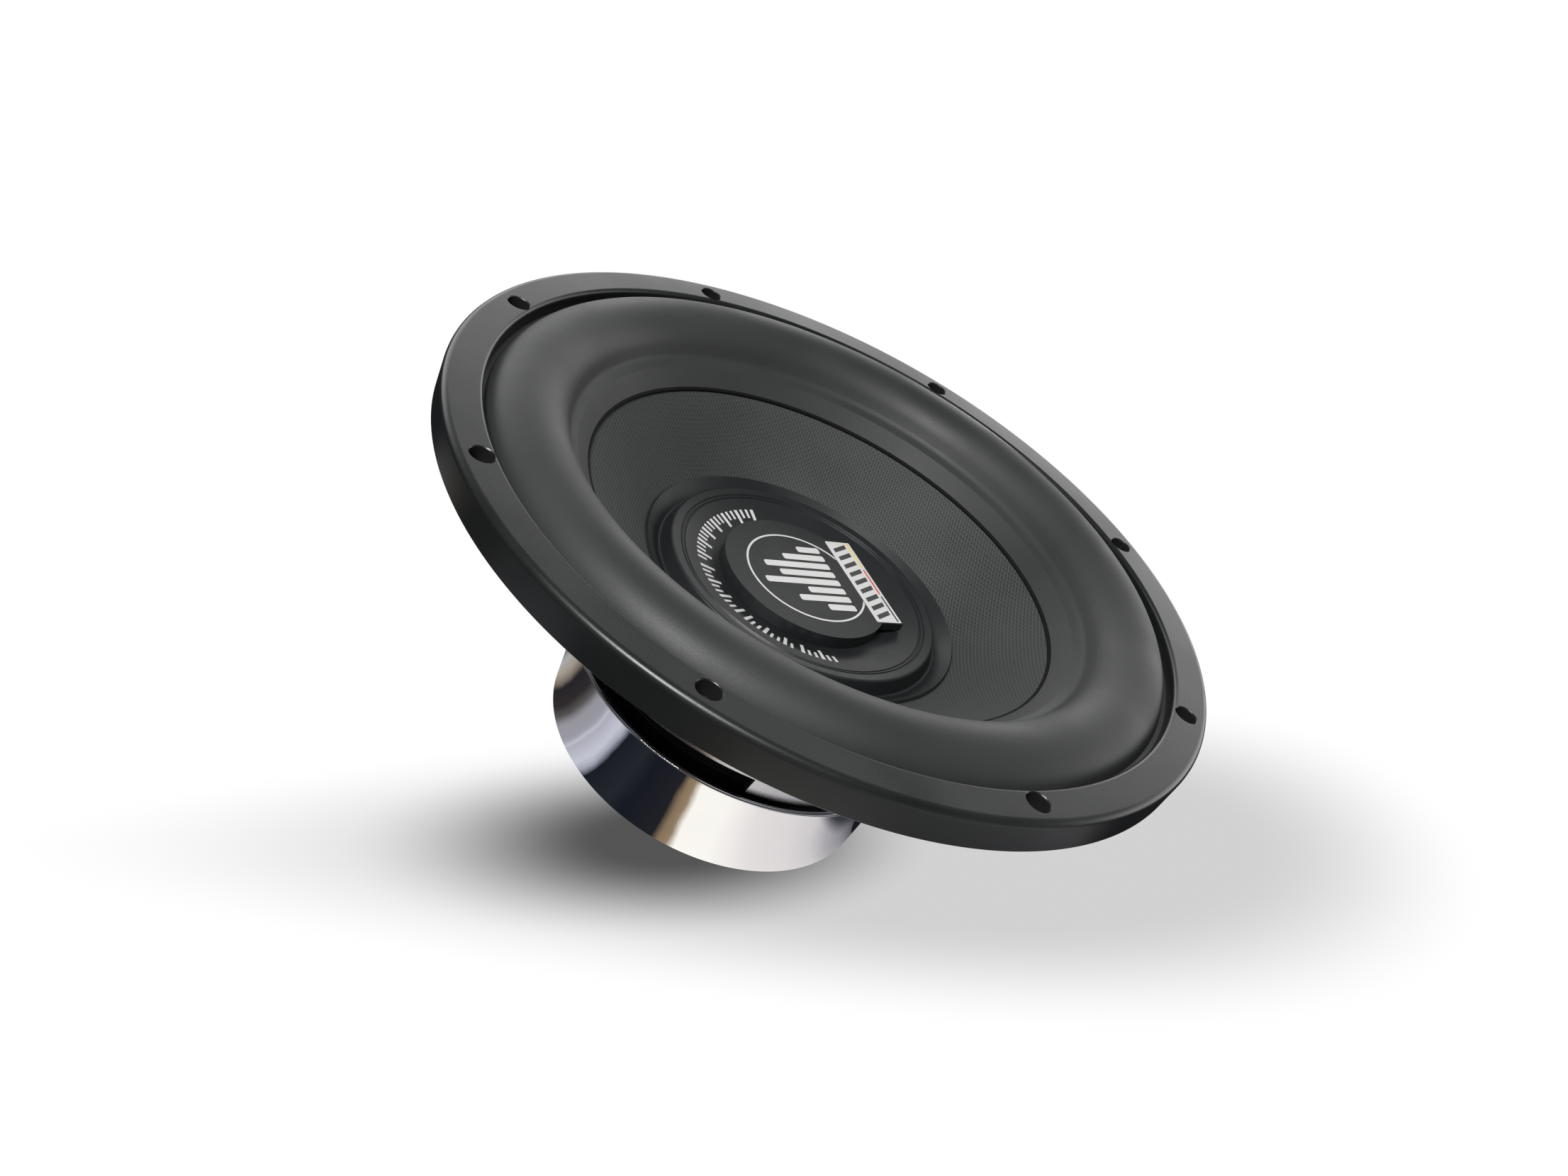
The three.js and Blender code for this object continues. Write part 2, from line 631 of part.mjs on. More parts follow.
/** The surround's upper face, from the foot of its inner band over the roll to the lip. */
function surroundPath() {
  const lipR = skirtInnerR - LIP_INSET;
  const reach = Math.sqrt(ROLL_R ** 2 - (lipTop - rollMiddleZ) ** 2);
  const outerDeg = THREE.MathUtils.radToDeg(Math.atan2(lipTop - rollMiddleZ, reach));
  const roll = arc(rollMiddleR, rollMiddleZ, ROLL_R, ROLL_START_DEG, outerDeg, 8);
  const bend = v2(roll[0].x - BEND_INSET, roll[0].y - BEND_DROP);
  return [v2(bandR, bandZ), v2(creaseR, creaseZ), bend, ...roll, v2(lipR, lipTop)];
}

function surround() {
  const path = surroundPath();
  const under = sheet(path, SURROUND_WALL).slice(path.length);
  const lipUnder = under[0];
  const foot = under.at(-1);
  lipUnder.y = lipTop - SURROUND_LIP;
  under[1].y = lipTop - SURROUND_LIP;
  foot.set(bandR, bandZ - BAND_WALL);
  under.at(-2).set(creaseR, creaseZ - BAND_WALL - GLUE);
  const notch = rod(TRIM_HOLE_R, lipTop - SURROUND_LIP - PAST, lipTop + PAST);
  return cut(lathe([...path, ...under], RIM_STEPS), around(notch, BOLT_COUNT, boltCircleR));
}

// ---------------------------------------------------------------- cone, dust cap and badge

/** The cone's upper face from its neck out to its rim under the surround's band. */
const conePath = [
  v2(neckInnerR, neckZ - NECK_LENGTH),
  v2(neckInnerR, neckZ),
  v2(CAP_FOOT_R, faceZ - CAP_FOOT_DROP - CAP_WALL - CAP_BED),
  v2(CAP_FLANGE_R, faceZ - CAP_FLANGE_DROP - CAP_WALL - CAP_BED),
  v2(bandR, bandZ - BAND_WALL - GLUE * 2),
  v2(creaseR - GLUE, creaseZ - BAND_WALL - GLUE * 4),
];

/** The dust cap's upper face: floor, dish, rolled edge, side wall and the flange stuck to the cone. */
const capPath = [
  v2(0, faceZ - CAP_FLOOR_DROP),
  v2(CAP_FLOOR_R, faceZ - CAP_FLOOR_DROP),
  v2(CAP_DISH_R, faceZ - CAP_DISH_DROP),
  v2(CAP_EDGE_R, faceZ - CAP_EDGE_DROP),
  v2(CAP_FOOT_R, faceZ - CAP_FOOT_DROP),
  v2(CAP_FLANGE_R, faceZ - CAP_FLANGE_DROP),
];

/** The round badge with its bar, which overhangs the circle at both ends. */
function badge() {
  const bottom = faceZ - CAP_FLOOR_DROP + GLUE;
  const top = bottom + BADGE_THICKNESS;
  const disc = ring(0, BADGE_R, bottom, top, RIM_STEPS);
  const barBottom = top - BAR_THICKNESS;
  const bar = block([BAR_NEAR, -BAR_HALF_LENGTH, barBottom], [BAR_FAR, BAR_HALF_LENGTH, top]);
  return join([disc, bar.rotateZ(radians(BAR_TURN_DEG))]);
}

function addDiaphragm() {
  add('trim_ring', trimRing(), finishes.trimRubber);
  add('surround', surround(), finishes.surroundRubber);
  add('cone', lathe(sheet(conePath, CONE_WALL), RIM_STEPS), finishes.wovenCone);
  add('dust_cap', lathe(sheet(capPath, CAP_WALL), RIM_STEPS), finishes.capPlastic);
  add('centre_badge', badge(), finishes.capPlastic);
}

/** The corrugated spider, from its neck on the former out to the land stuck to the shelf. */
function addSpider() {
  const landTop = shelfZ + GLUE + SPIDER_WALL;
  const innerR = neckInnerR + SPIDER_NECK;
  const outerR = SHELF_INNER_R - SPIDER_INSET;
  const steps = SPIDER_RIPPLES * 4;
  const ripples = Array.from({ length: steps + 1 }, (_, i) => {
    const wave = SPIDER_WAVE * Math.sin((i * Math.PI) / 2);
    return v2(innerR + ((outerR - innerR) * i) / steps, landTop + wave);
  });
  const path = [
    v2(neckInnerR, landTop - SPIDER_NECK),
    v2(neckInnerR, landTop),
    ...ripples,
    v2(SHELF_INNER_R + SPIDER_LAND, landTop),
  ];
  add('spider', lathe(sheet(path, SPIDER_WALL), CORE_STEPS), finishes.cottonCloth);
}

// ---------------------------------------------------------------- terminal block and leads

const baseBottom = BOSS_PROUD + BLOCK_GAP;
const baseTop = baseBottom + BLOCK_BASE;
const socketTop = baseBottom + SOCKET_HEIGHT;
const socketFloorZ = baseBottom + SOCKET_FLOOR;
const postX = (side) => (side * POST_SPACING) / 2;

/** The moulded block: a rounded base with two sockets, each with a wire hole across it. */
function terminalBlock() {
  const outline = roundedRectangle(BLOCK_LENGTH, BLOCK_WIDTH, BLOCK_CORNER);
  const base = prism(outline, baseBottom, baseTop, 2);
  const tabX = CONTACT_WIDTH / 2 + TAB_END_CLEAR;
  const tabY = CONTACT_SHEET / 2 + TAB_SIDE_CLEAR;
  const sockets = postSides.map((side) => {
    const socket = rod(SOCKET_R, baseBottom, socketTop, POST_STEPS);
    return socket.translate(postX(side), 0, 0);
  });
  const tools = postSides.flatMap((side) => {
    const bore = rod(SOCKET_BORE_R, socketFloorZ, socketTop + PAST, POST_STEPS);
    const wire = rod(WIRE_HOLE_R, -SOCKET_R - PAST, SOCKET_R + PAST).rotateX(Math.PI / 2);
    const tab = block([-tabX, -tabY, baseBottom - PAST], [tabX, tabY, baseTop]);
    return [
      bore.translate(postX(side), 0, 0),
      wire.translate(postX(side), 0, (baseTop + socketTop) / 2),
      tab.translate(postX(side), 0, 0),
      blockScrewHole(side, baseBottom - PAST, baseTop + PAST),
    ];
  });
  return cut(join([base, ...sockets]), tools);
}

/** A push post: a round cap on a stem that slides down the socket. */
function pushButton(side) {
  const capBottom = socketTop + BUTTON_TRAVEL + BUTTON_STOP;
  const capTop = capBottom + BUTTON_HEIGHT;
  const outline = [
    v2(0, socketTop - STEM_DEPTH),
    v2(STEM_R, socketTop - STEM_DEPTH),
    v2(STEM_R, capBottom),
    v2(BUTTON_R, capBottom),
    v2(BUTTON_R, capTop - BUTTON_CHAMFER),
    v2(BUTTON_R - BUTTON_CHAMFER, capTop),
    v2(0, capTop),
  ];
  return lathe(outline, POST_STEPS).translate(postX(side), 0, 0);
}

/** The coil spring between the socket's floor and the stem. */
function postSpring(side) {
  const bottom = socketFloorZ + SPRING_WIRE_R + GLUE;
  const top = socketTop - STEM_DEPTH - SPRING_WIRE_R - GLUE;
  const steps = SPRING_TURNS * SPRING_TURN_STEPS;
  const points = Array.from({ length: steps + 1 }, (_, i) => {
    const angle = (2 * Math.PI * i) / SPRING_TURN_STEPS;
    const height = bottom + ((top - bottom) * i) / steps;
    return new THREE.Vector3(SPRING_R * Math.cos(angle), SPRING_R * Math.sin(angle), height);
  });
  const section = new THREE.Shape().absarc(0, 0, SPRING_WIRE_R, 0, Math.PI * 2, false);
  const route = new THREE.CatmullRomCurve3(points);
  const settings = { steps, extrudePath: route, curveSegments: 3 };
  return new THREE.ExtrudeGeometry(section, settings).translate(postX(side), 0, 0);
}

/** A brass strip from inside the socket through the basket, where its lead is soldered. */
function contact(side) {
  const low = [-CONTACT_WIDTH / 2, -CONTACT_SHEET / 2, -BASKET_SHEET - CONTACT_TAIL];
  const high = [CONTACT_WIDTH / 2, CONTACT_SHEET / 2, socketFloorZ + CONTACT_HEAD];
  return block(low, high).translate(postX(side), 0, 0);
}

function blockScrew(side) {
  const x = side * (BLOCK_LENGTH / 2 - BLOCK_SCREW_INSET);
  const headBottom = baseTop + GLUE;
  const headTop = headBottom + BLOCK_SCREW_HEAD_HEIGHT;
  const outline = [
    v2(0, -BASKET_SHEET * 2),
    v2(BLOCK_SCREW_R, -BASKET_SHEET * 2),
    v2(BLOCK_SCREW_R, headBottom),
    v2(BLOCK_SCREW_HEAD_R, headBottom),
    v2(BLOCK_SCREW_HEAD_R, headTop - BLOCK_SCREW_HEAD_SHOULDER),
    v2(BLOCK_SCREW_HEAD_R - BLOCK_SCREW_HEAD_SLOPE, headTop),
    v2(0, headTop),
  ];
  return lathe(outline, HOLE_STEPS).translate(x, 0, 0);
}

/** A flexible braided lead from a contact tab down to the cone's neck, with slack for its travel. */
function lead(side) {
  const start = -BASKET_SHEET - CONTACT_TAIL - LEAD_START_GAP;
  const tab = new THREE.Vector3(postX(side), 0, start).applyMatrix4(terminal);
  const straight = new THREE.Vector3(postX(side), 0, start - LEAD_STRAIGHT).applyMatrix4(terminal);
  const endR = neckInnerR + CONE_WALL + LEAD_R + LEAD_END_CLEAR;
  const end = new THREE.Vector3(endR, side * LEAD_SPREAD, neckZ - LEAD_END_DROP);
  end.applyAxisAngle(new THREE.Vector3(0, 0, 1), terminalTurn);
  const down = new THREE.Vector3(0, 0, -LEAD_SAG);
  const span = (share) => straight.clone().lerp(end, share).add(down);
  const route = new THREE.CatmullRomCurve3([tab, straight, span(0.33), span(0.7), end]);
  const section = new THREE.Shape().absarc(0, 0, LEAD_R, 0, Math.PI * 2, false);
  return new THREE.ExtrudeGeometry(section, { steps: 24, extrudePath: route, curveSegments: 4 });
}

function addTerminals() {
  add('terminal_block', onTerminal(terminalBlock()), finishes.blackPlastic);
  const names = ['negative', 'positive'];
  postSides.forEach((side, i) => {
    const colour = side > 0 ? finishes.redPlastic : finishes.blackPlastic;
    add(`${names[i]}_button`, onTerminal(pushButton(side)), colour);
    add(`${names[i]}_spring`, onTerminal(postSpring(side)), finishes.steel);
    add(`${names[i]}_contact`, onTerminal(contact(side)), finishes.brass);
    add(`${names[i]}_lead`, lead(side), finishes.tinselBraid);
    add(`block_screw_${i + 1}`, onTerminal(blockScrew(side)), finishes.steel);
  });
}

addMotor();
addVoiceCoil();
addBasket();
addSpider();
addDiaphragm();
addTerminals();

export default speaker;
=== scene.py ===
"""Looks of a twelve-inch car subwoofer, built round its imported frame.

Every length is in metres, in the frame's own axes: +Z runs up the voice coil and the magnet
cover stands on z = 0.
"""
import json
import logging
import math
from dataclasses import dataclass, field
from enum import Enum
from typing import Iterable, Sequence, Union

import bmesh
import bpy
import numpy as np
from mathutils import Matrix, Vector


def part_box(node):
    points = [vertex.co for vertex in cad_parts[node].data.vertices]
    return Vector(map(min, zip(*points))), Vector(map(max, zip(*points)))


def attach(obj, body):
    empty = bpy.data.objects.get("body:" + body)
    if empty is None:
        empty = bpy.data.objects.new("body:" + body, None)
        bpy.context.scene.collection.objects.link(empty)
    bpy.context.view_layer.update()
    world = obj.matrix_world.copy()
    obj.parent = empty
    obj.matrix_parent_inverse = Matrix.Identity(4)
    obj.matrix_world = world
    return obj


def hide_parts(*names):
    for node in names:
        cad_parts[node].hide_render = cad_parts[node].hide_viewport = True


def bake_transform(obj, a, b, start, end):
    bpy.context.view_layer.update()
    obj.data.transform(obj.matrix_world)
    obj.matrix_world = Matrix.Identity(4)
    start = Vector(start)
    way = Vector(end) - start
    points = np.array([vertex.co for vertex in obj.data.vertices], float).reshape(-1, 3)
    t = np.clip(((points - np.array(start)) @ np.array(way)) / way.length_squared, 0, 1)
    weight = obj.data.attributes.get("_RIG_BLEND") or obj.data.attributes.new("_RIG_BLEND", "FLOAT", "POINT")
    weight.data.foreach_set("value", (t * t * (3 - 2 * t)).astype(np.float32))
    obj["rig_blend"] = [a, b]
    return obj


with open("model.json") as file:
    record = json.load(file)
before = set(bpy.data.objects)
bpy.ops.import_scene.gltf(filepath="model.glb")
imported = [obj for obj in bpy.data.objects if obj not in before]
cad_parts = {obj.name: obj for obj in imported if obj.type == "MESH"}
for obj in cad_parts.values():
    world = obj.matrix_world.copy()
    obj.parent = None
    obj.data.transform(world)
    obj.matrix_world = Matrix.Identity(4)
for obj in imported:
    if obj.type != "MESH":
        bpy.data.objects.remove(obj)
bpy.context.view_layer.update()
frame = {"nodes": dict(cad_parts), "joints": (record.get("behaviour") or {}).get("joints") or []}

LOG = logging.getLogger("subwoofer")
MM = 0.001
ON_AXIS = 1e-7
GLUE_GAP = 0.1 * MM
PAST = 1.0 * MM  # how far a cutter reaches past a face
RGB = tuple[float, float, float]
Outline = list[tuple[float, float]]
Value = Union["Signal", float]


class Body(Enum):
    """The bodies of the frame that pieces ride on."""

    FRAME = "frame"
    CONE = "cone_assembly"
    NEGATIVE = "negative_post"
    POSITIVE = "positive_post"


class Turn(Enum):
    """Facets round a turned piece."""

    COARSE = 32
    SMALL = 64
    MEDIUM = 128
    LARGE = 256


# ------------------------------------------------------------------------- material nodes


class Signal:
    """A number in a material. Arithmetic on it adds Math nodes."""

    def __init__(self, graph: "Graph", socket: bpy.types.NodeSocket) -> None:
        """Wraps one output socket of a graph."""
        self.graph, self.socket = graph, socket

    def math(self, operation: str, *values: Value) -> "Signal":
        """A Math node with this number first.

        Args:
            operation: the node's operation.
            values: the other inputs.
        Returns:
            The result.
        """
        return self.graph.number(operation, self, *values)

    def __add__(self, other: Value) -> "Signal":
        """This plus another number."""
        return self.math("ADD", other)

    __radd__ = __add__

    def __mul__(self, other: Value) -> "Signal":
        """This times another number."""
        return self.math("MULTIPLY", other)

    __rmul__ = __mul__

    def __sub__(self, other: Value) -> "Signal":
        """This less another number."""
        return self.math("SUBTRACT", other)

    def __rsub__(self, other: Value) -> "Signal":
        """Another number less this."""
        return self.graph.number("SUBTRACT", other, self)

    def __truediv__(self, other: Value) -> "Signal":
        """This over another number."""
        return self.math("DIVIDE", other)

    def sine(self) -> "Signal":
        """The sine of this angle."""
        return self.math("SINE")

    def smooth(self, low: float, high: float) -> "Signal":
        """A smooth step.

        Args:
            low: where the step is 0.
            high: where the step is 1.
        Returns:
            The step.
        """
        values = {"Value": self, "From Min": low, "From Max": high}
        node = self.graph.node("ShaderNodeMapRange", {"interpolation_type": "SMOOTHSTEP"}, values)
        return Signal(self.graph, node.outputs["Result"])


class Graph:
    """A material's node tree round one Principled shader."""

    def __init__(self, name: str) -> None:
        """Starts a material with that name."""
        self.material = bpy.data.materials.new(name)
        self.material.use_nodes = True
        self.tree = self.material.node_tree
        self.shader = self.tree.nodes["Principled BSDF"]

    def feed(self, socket: bpy.types.NodeSocket, value: object) -> None:
        """Links a signal or a socket to an input, or sets the input's own value."""
        if isinstance(value, Signal):
            value = value.socket
        if isinstance(value, bpy.types.NodeSocket):
            self.tree.links.new(value, socket)
        else:
            socket.default_value = (*value, 1.0) if socket.type == "RGBA" and len(value) == 3 else value

    def node(self, kind: str, settings: dict, values: dict) -> bpy.types.Node:
        """Adds a node.

        Args:
            kind: the node's type.
            settings: its properties; "stops" holds a ramp's places and colours.
            values: what each input takes, by name or number.
        Returns:
            The node.
        """
        node = self.tree.nodes.new(kind)
        for key, setting in settings.items():
            if key == "stops":
                ramp = node.color_ramp.elements
                while len(ramp) < len(setting):
                    ramp.new(0.5)
                for element, (place, colour) in zip(ramp, setting):
                    element.position, element.color = place, (*colour, 1.0)
            else:
                setattr(node, key, setting)
        for key, value in values.items():
            self.feed(node.inputs[key], value)
        return node

    def number(self, operation: str, *values: Value) -> Signal:
        """The result of one Math node."""
        node = self.node("ShaderNodeMath", {"operation": operation}, dict(enumerate(values)))
        return Signal(self, node.outputs[0])

    def mix(self, share: Value, first: object, second: object) -> bpy.types.NodeSocket:
        """A colour between two others.

        Args:
            share: how much of the second colour.
            first: a colour or a colour socket.
            second: a colour or a colour socket.
        Returns:
            The colour's socket.
        """
        node = self.node("ShaderNodeMix", {"data_type": "RGBA"}, {0: share, 6: first, 7: second})
        return node.outputs[2]

    def noise(self, scale: float, detail: float = 2.0, stretch: RGB = (1.0, 1.0, 1.0)) -> Signal:
        """Noise over the piece's own coordinates.

        Args:
            scale: grains per metre.
            detail: octaves.
            stretch: a factor along each axis.
        Returns:
            The noise, about one half.
        """
        scaled = self.node("ShaderNodeVectorMath", {"operation": "MULTIPLY"}, {0: self.place(), 1: stretch})
        values = {"Vector": scaled.outputs[0], "Scale": scale, "Detail": detail}
        return Signal(self, self.node("ShaderNodeTexNoise", {}, values).outputs[0])

    def place(self) -> bpy.types.NodeSocket:
        """The point's coordinates in the piece."""
        return self.node("ShaderNodeTexCoord", {}, {}).outputs["Object"]

    def axes(self) -> tuple[Signal, Signal, Signal]:
        """The point's x, y and z."""
        outputs = self.node("ShaderNodeSeparateXYZ", {}, {0: self.place()}).outputs
        return Signal(self, outputs[0]), Signal(self, outputs[1]), Signal(self, outputs[2])

    def radius(self) -> Signal:
        """The point's distance from the voice coil's axis."""
        x, y, _ = self.axes()
        return (x * x + y * y).math("SQRT")

    def bump(self, height: Value, depth: float) -> None:
        """Feeds a relief to the shader's normal.

        Args:
            height: the relief from 0 to 1.
            depth: how far 1 stands above 0, in metres.
        """
        node = self.node("ShaderNodeBump", {}, {"Height": height, "Distance": depth, "Strength": 1.0})
        self.feed(self.shader.inputs["Normal"], node.outputs[0])


# ------------------------------------------------------------------------- finishes


@dataclass(frozen=True)
class Finish:
    """A surface with a fine grain and slow changes of colour and gloss."""

    name: str
    slot: str
    colour: RGB
    shade: RGB
    roughness: float
    metallic: float = 0.0
    grain: float = 1400.0
    depth: float = 0.03 * MM
    spread: float = 0.12
    cloud: float = 22.0
    coat: float = 0.0
    coat_roughness: float = 0.12
    specular: float = 0.5

    def material(self) -> bpy.types.Material:
        """The finish as a material, made once."""
        name = f"{self.name}_finish"
        made = bpy.data.materials.get(name)
        if made:
            return made
        graph = Graph(name)
        cloud = graph.noise(self.cloud, 3.0).smooth(0.3, 0.7)
        fine = graph.noise(self.grain, 3.0)
        inputs = graph.shader.inputs
        graph.feed(inputs["Base Color"], self.tint(graph, cloud, fine))
        graph.feed(inputs["Roughness"], self.gloss(graph, cloud, fine))
        graph.feed(inputs["Metallic"], self.metallic)
        graph.feed(inputs["Coat Weight"], self.coat)
        graph.feed(inputs["Coat Roughness"], self.coat_roughness)
        graph.feed(inputs["Specular IOR Level"], self.specular)
        graph.bump(self.relief(graph, fine), self.depth)
        return graph.material

    def tint(self, graph: Graph, cloud: Signal, fine: Signal) -> object:
        """The base colour, between the finish's two colours."""
        return graph.mix(cloud * 0.7 + fine * 0.3, self.colour, self.shade)

    def gloss(self, graph: Graph, cloud: Signal, fine: Signal) -> Value:
        """The roughness, about the finish's own."""
        return (cloud + fine - 1.0) * self.spread + self.roughness

    def relief(self, graph: Graph, fine: Signal) -> Signal:
        """The height of the surface from 0 to 1."""
        return fine


@dataclass(frozen=True)
class Woven(Finish):
    """Cloth of two sets of threads, laid flat over the piece before it was pressed."""

    pitch: float = 1.15 * MM
    turn_deg: float = 14.0
    cross: float = 0.55
    # painted light: the line across the axis along which the cloth's colour is made brighter, and by how much
    painted_light_deg: float = 78.0
    painted_light: float = 0.22

    def threads(self, graph: Graph) -> Signal:
        """The cloth's height from 0 to 1: rows in one direction and weaker ones across them."""
        x, y, _ = graph.axes()
        turn = math.radians(self.turn_deg)
        rate = 2 * math.pi / self.pitch
        along = x * (math.cos(turn) * rate) + y * (math.sin(turn) * rate)
        across = y * (math.cos(turn) * rate) - x * (math.sin(turn) * rate)
        over = (across * 0.5).sine() * (along * 0.5).sine()
        rows = along.sine() + across.sine() * self.cross + over * 0.8
        return rows * 0.2 + 0.5

    def tint(self, graph: Graph, cloud: Signal, fine: Signal) -> object:
        """Darker between the threads, with painted light: brighter to both sides of the axis along the
        painted light's line.
        """
        x, y, _ = graph.axes()
        turn = (y.math("ARCTAN2", x) - math.radians(self.painted_light_deg)) * 2.0 + math.pi / 2
        # painted light: brighter along one line across the axis, darker across it
        painted_light_share = turn.sine() * self.painted_light + (1.0 - self.painted_light)
        threads = self.threads(graph).smooth(0.15, 0.75) * 0.75 + cloud * 0.25
        return graph.mix(threads * painted_light_share, self.shade, self.colour)

    def relief(self, graph: Graph, fine: Signal) -> Signal:
        """The threads, with some fluff on them."""
        return self.threads(graph) * 0.85 + fine * 0.15


@dataclass(frozen=True)
class Turned(Finish):
    """A face with fine rings left by the mould or the lathe."""

    pitch: float = 0.35 * MM

    def relief(self, graph: Graph, fine: Signal) -> Signal:
        """Rings about the axis, with the grain over them."""
        rings = (graph.radius() * (2 * math.pi / self.pitch)).sine()
        return rings * 0.12 + fine * 0.7


@dataclass(frozen=True)
class HoleShadeFinish(Finish):
    """A moulded ring with painted shade in its bolt holes: black and dull inside them."""

    dark_r: float = 4.6 * MM
    clear_r: float = 5.0 * MM
    dark_drop: float = 0.9 * MM
    clear_drop: float = 0.27 * MM
    dullness: float = 0.6

    def hole(self, graph: Graph) -> Signal:
        """The painted shade's mask: 1 on the walls of the bolt holes, 0 elsewhere."""
        x, y, z = graph.axes()
        step = 2 * math.pi / PLAN.bolt_count
        turn = (y.math("ARCTAN2", x) + (2 * math.pi + step / 2)).math("MODULO", step) - step / 2
        across = turn.sine() * graph.radius()
        out = graph.radius() - PLAN.bolt_r
        apart = (across * across + out * out).math("SQRT")
        above = z.smooth(PLAN.face - self.dark_drop, PLAN.face - self.clear_drop)
        return (1.0 - apart.smooth(self.dark_r, self.clear_r)) * (1.0 - above)

    def tint(self, graph: Graph, cloud: Signal, fine: Signal) -> object:
        """Painted shade: black in the holes."""
        return graph.mix(self.hole(graph), super().tint(graph, cloud, fine), (0.0, 0.0, 0.0))

    def gloss(self, graph: Graph, cloud: Signal, fine: Signal) -> Value:
        """Dull in the holes."""
        return super().gloss(graph, cloud, fine) + self.hole(graph) * self.dullness


@dataclass(frozen=True)
class Polished(Finish):
    """Plated metal polished round the piece, with faint hair lines and smudges."""

    def gloss(self, graph: Graph, cloud: Signal, fine: Signal) -> Value:
        """Nearly a mirror, duller in the smudges."""
        hairs = graph.noise(60.0, 4.0, (1.0, 1.0, 40.0)).smooth(0.5, 0.8)
        return cloud * self.spread * 0.4 + hairs * self.spread * 0.5 + self.roughness

    def relief(self, graph: Graph, fine: Signal) -> Signal:
        """Slow waves from the pressing."""
        return graph.noise(28.0, 1.0, (1.0, 1.0, 0.35))


@dataclass(frozen=True)
class Wound(Finish):
    """Round wire in one layer, side by side."""

    pitch: float = 0.6 * MM

    def relief(self, graph: Graph, fine: Signal) -> Signal:
        """One ridge for each turn of the wire."""
        _, _, z = graph.axes()
        return (z * (2 * math.pi / self.pitch)).sine() * 0.4 + fine * 0.1 + 0.5


# the trim ring's bolt holes get painted shade from this finish
TRIM_RUBBER = HoleShadeFinish("trim_rubber", "trim_rubber", (0.011, 0.012, 0.012), (0.015, 0.016, 0.016), 0.29,
                      depth=0.006 * MM, specular=0.42)
ROLL_RUBBER = Finish("roll_rubber", "surround_rubber", (0.024, 0.026, 0.025), (0.030, 0.032, 0.031), 0.56,
                     specular=0.42)
# the cone's cloth gets painted light from Woven: brighter along one line across the axis
CONE_CLOTH = Woven("cone_cloth", "woven_cone", (0.078, 0.086, 0.080), (0.022, 0.024, 0.023), 0.66,
                   depth=0.12 * MM, specular=0.22)
CAP_PLASTIC = Turned("cap_plastic", "cap_plastic", (0.010, 0.011, 0.012), (0.014, 0.015, 0.016), 0.42,
                     depth=0.012 * MM)
# black glue at the band's joint, whose black is also painted shade for the shadow in that joint
GLUE_AND_SHADE = Finish("black_glue_and_shade", "cap_plastic", (0.008, 0.008, 0.009), (0.006, 0.006, 0.006), 0.7,
              grain=300.0, specular=0.1)
WHITE_INK = Finish("white_ink", "cap_plastic", (0.68, 0.68, 0.67), (0.60, 0.60, 0.59), 0.42,
                   depth=0.01 * MM)
DARK_INK = Finish("dark_ink", "cap_plastic", (0.055, 0.052, 0.055), (0.035, 0.034, 0.036), 0.42,
                  depth=0.01 * MM)
YELLOW_INK = Finish("yellow_ink", "cap_plastic", (0.80, 0.62, 0.10), (0.74, 0.55, 0.08), 0.42,
                    depth=0.01 * MM)
RED_INK = Finish("red_ink", "cap_plastic", (0.70, 0.07, 0.05), (0.62, 0.05, 0.04), 0.42, depth=0.01 * MM)
ZINC = Finish("zinc_plate", "zinc_steel", (0.66, 0.66, 0.69), (0.50, 0.51, 0.55), 0.30, metallic=1.0,
              grain=900.0, depth=0.02 * MM, cloud=35.0)
CHROME = Polished("chrome_plate", "chrome", (0.86, 0.86, 0.88), (0.80, 0.80, 0.83), 0.035, metallic=1.0,
                  depth=0.06 * MM, spread=0.05)
BLACK_STEEL = Turned("black_steel", "black_steel", (0.022, 0.022, 0.024), (0.035, 0.035, 0.037), 0.38,
                     metallic=0.5)
FERRITE = Finish("ferrite", "ferrite", (0.030, 0.030, 0.032), (0.055, 0.055, 0.057), 0.72, grain=700.0,
                 depth=0.12 * MM)
FOAM = Finish("closed_foam", "foam", (0.012, 0.012, 0.012), (0.025, 0.025, 0.025), 0.9, grain=1600.0,
              depth=0.35 * MM)
SPIDER_CLOTH = Woven("spider_cloth", "spider_cloth", (0.075, 0.065, 0.045), (0.030, 0.026, 0.020), 0.7,
                     depth=0.2 * MM, pitch=1.0 * MM, cross=1.0, turn_deg=30.0)
AMBER_FILM = Finish("amber_film", "kapton", (0.34, 0.15, 0.025), (0.24, 0.10, 0.02), 0.28, coat=0.5)
COPPER_WIRE = Wound("copper_wire", "copper", (0.62, 0.24, 0.10), (0.48, 0.17, 0.07), 0.30, metallic=0.9,
                    depth=0.12 * MM, coat=0.4)
BLACK_PLASTIC = Finish("black_plastic", "black_plastic", (0.018, 0.018, 0.020), (0.026, 0.026, 0.028), 0.42)
RED_PLASTIC = Finish("red_plastic", "red_plastic", (0.50, 0.018, 0.016), (0.40, 0.014, 0.013), 0.34,
                     depth=0.02 * MM)
BRASS = Finish("bright_brass", "brass", (0.78, 0.56, 0.22), (0.66, 0.45, 0.17), 0.26, metallic=1.0,
               depth=0.02 * MM)
SCREW_STEEL = Finish("screw_steel", "steel", (0.58, 0.58, 0.60), (0.44, 0.44, 0.47), 0.28, metallic=1.0)
TINSEL = Finish("tinsel_wire", "tinsel_braid", (0.72, 0.42, 0.22), (0.52, 0.28, 0.14), 0.34, metallic=0.9,
                depth=0.03 * MM)


# ------------------------------------------------------------------------- outlines


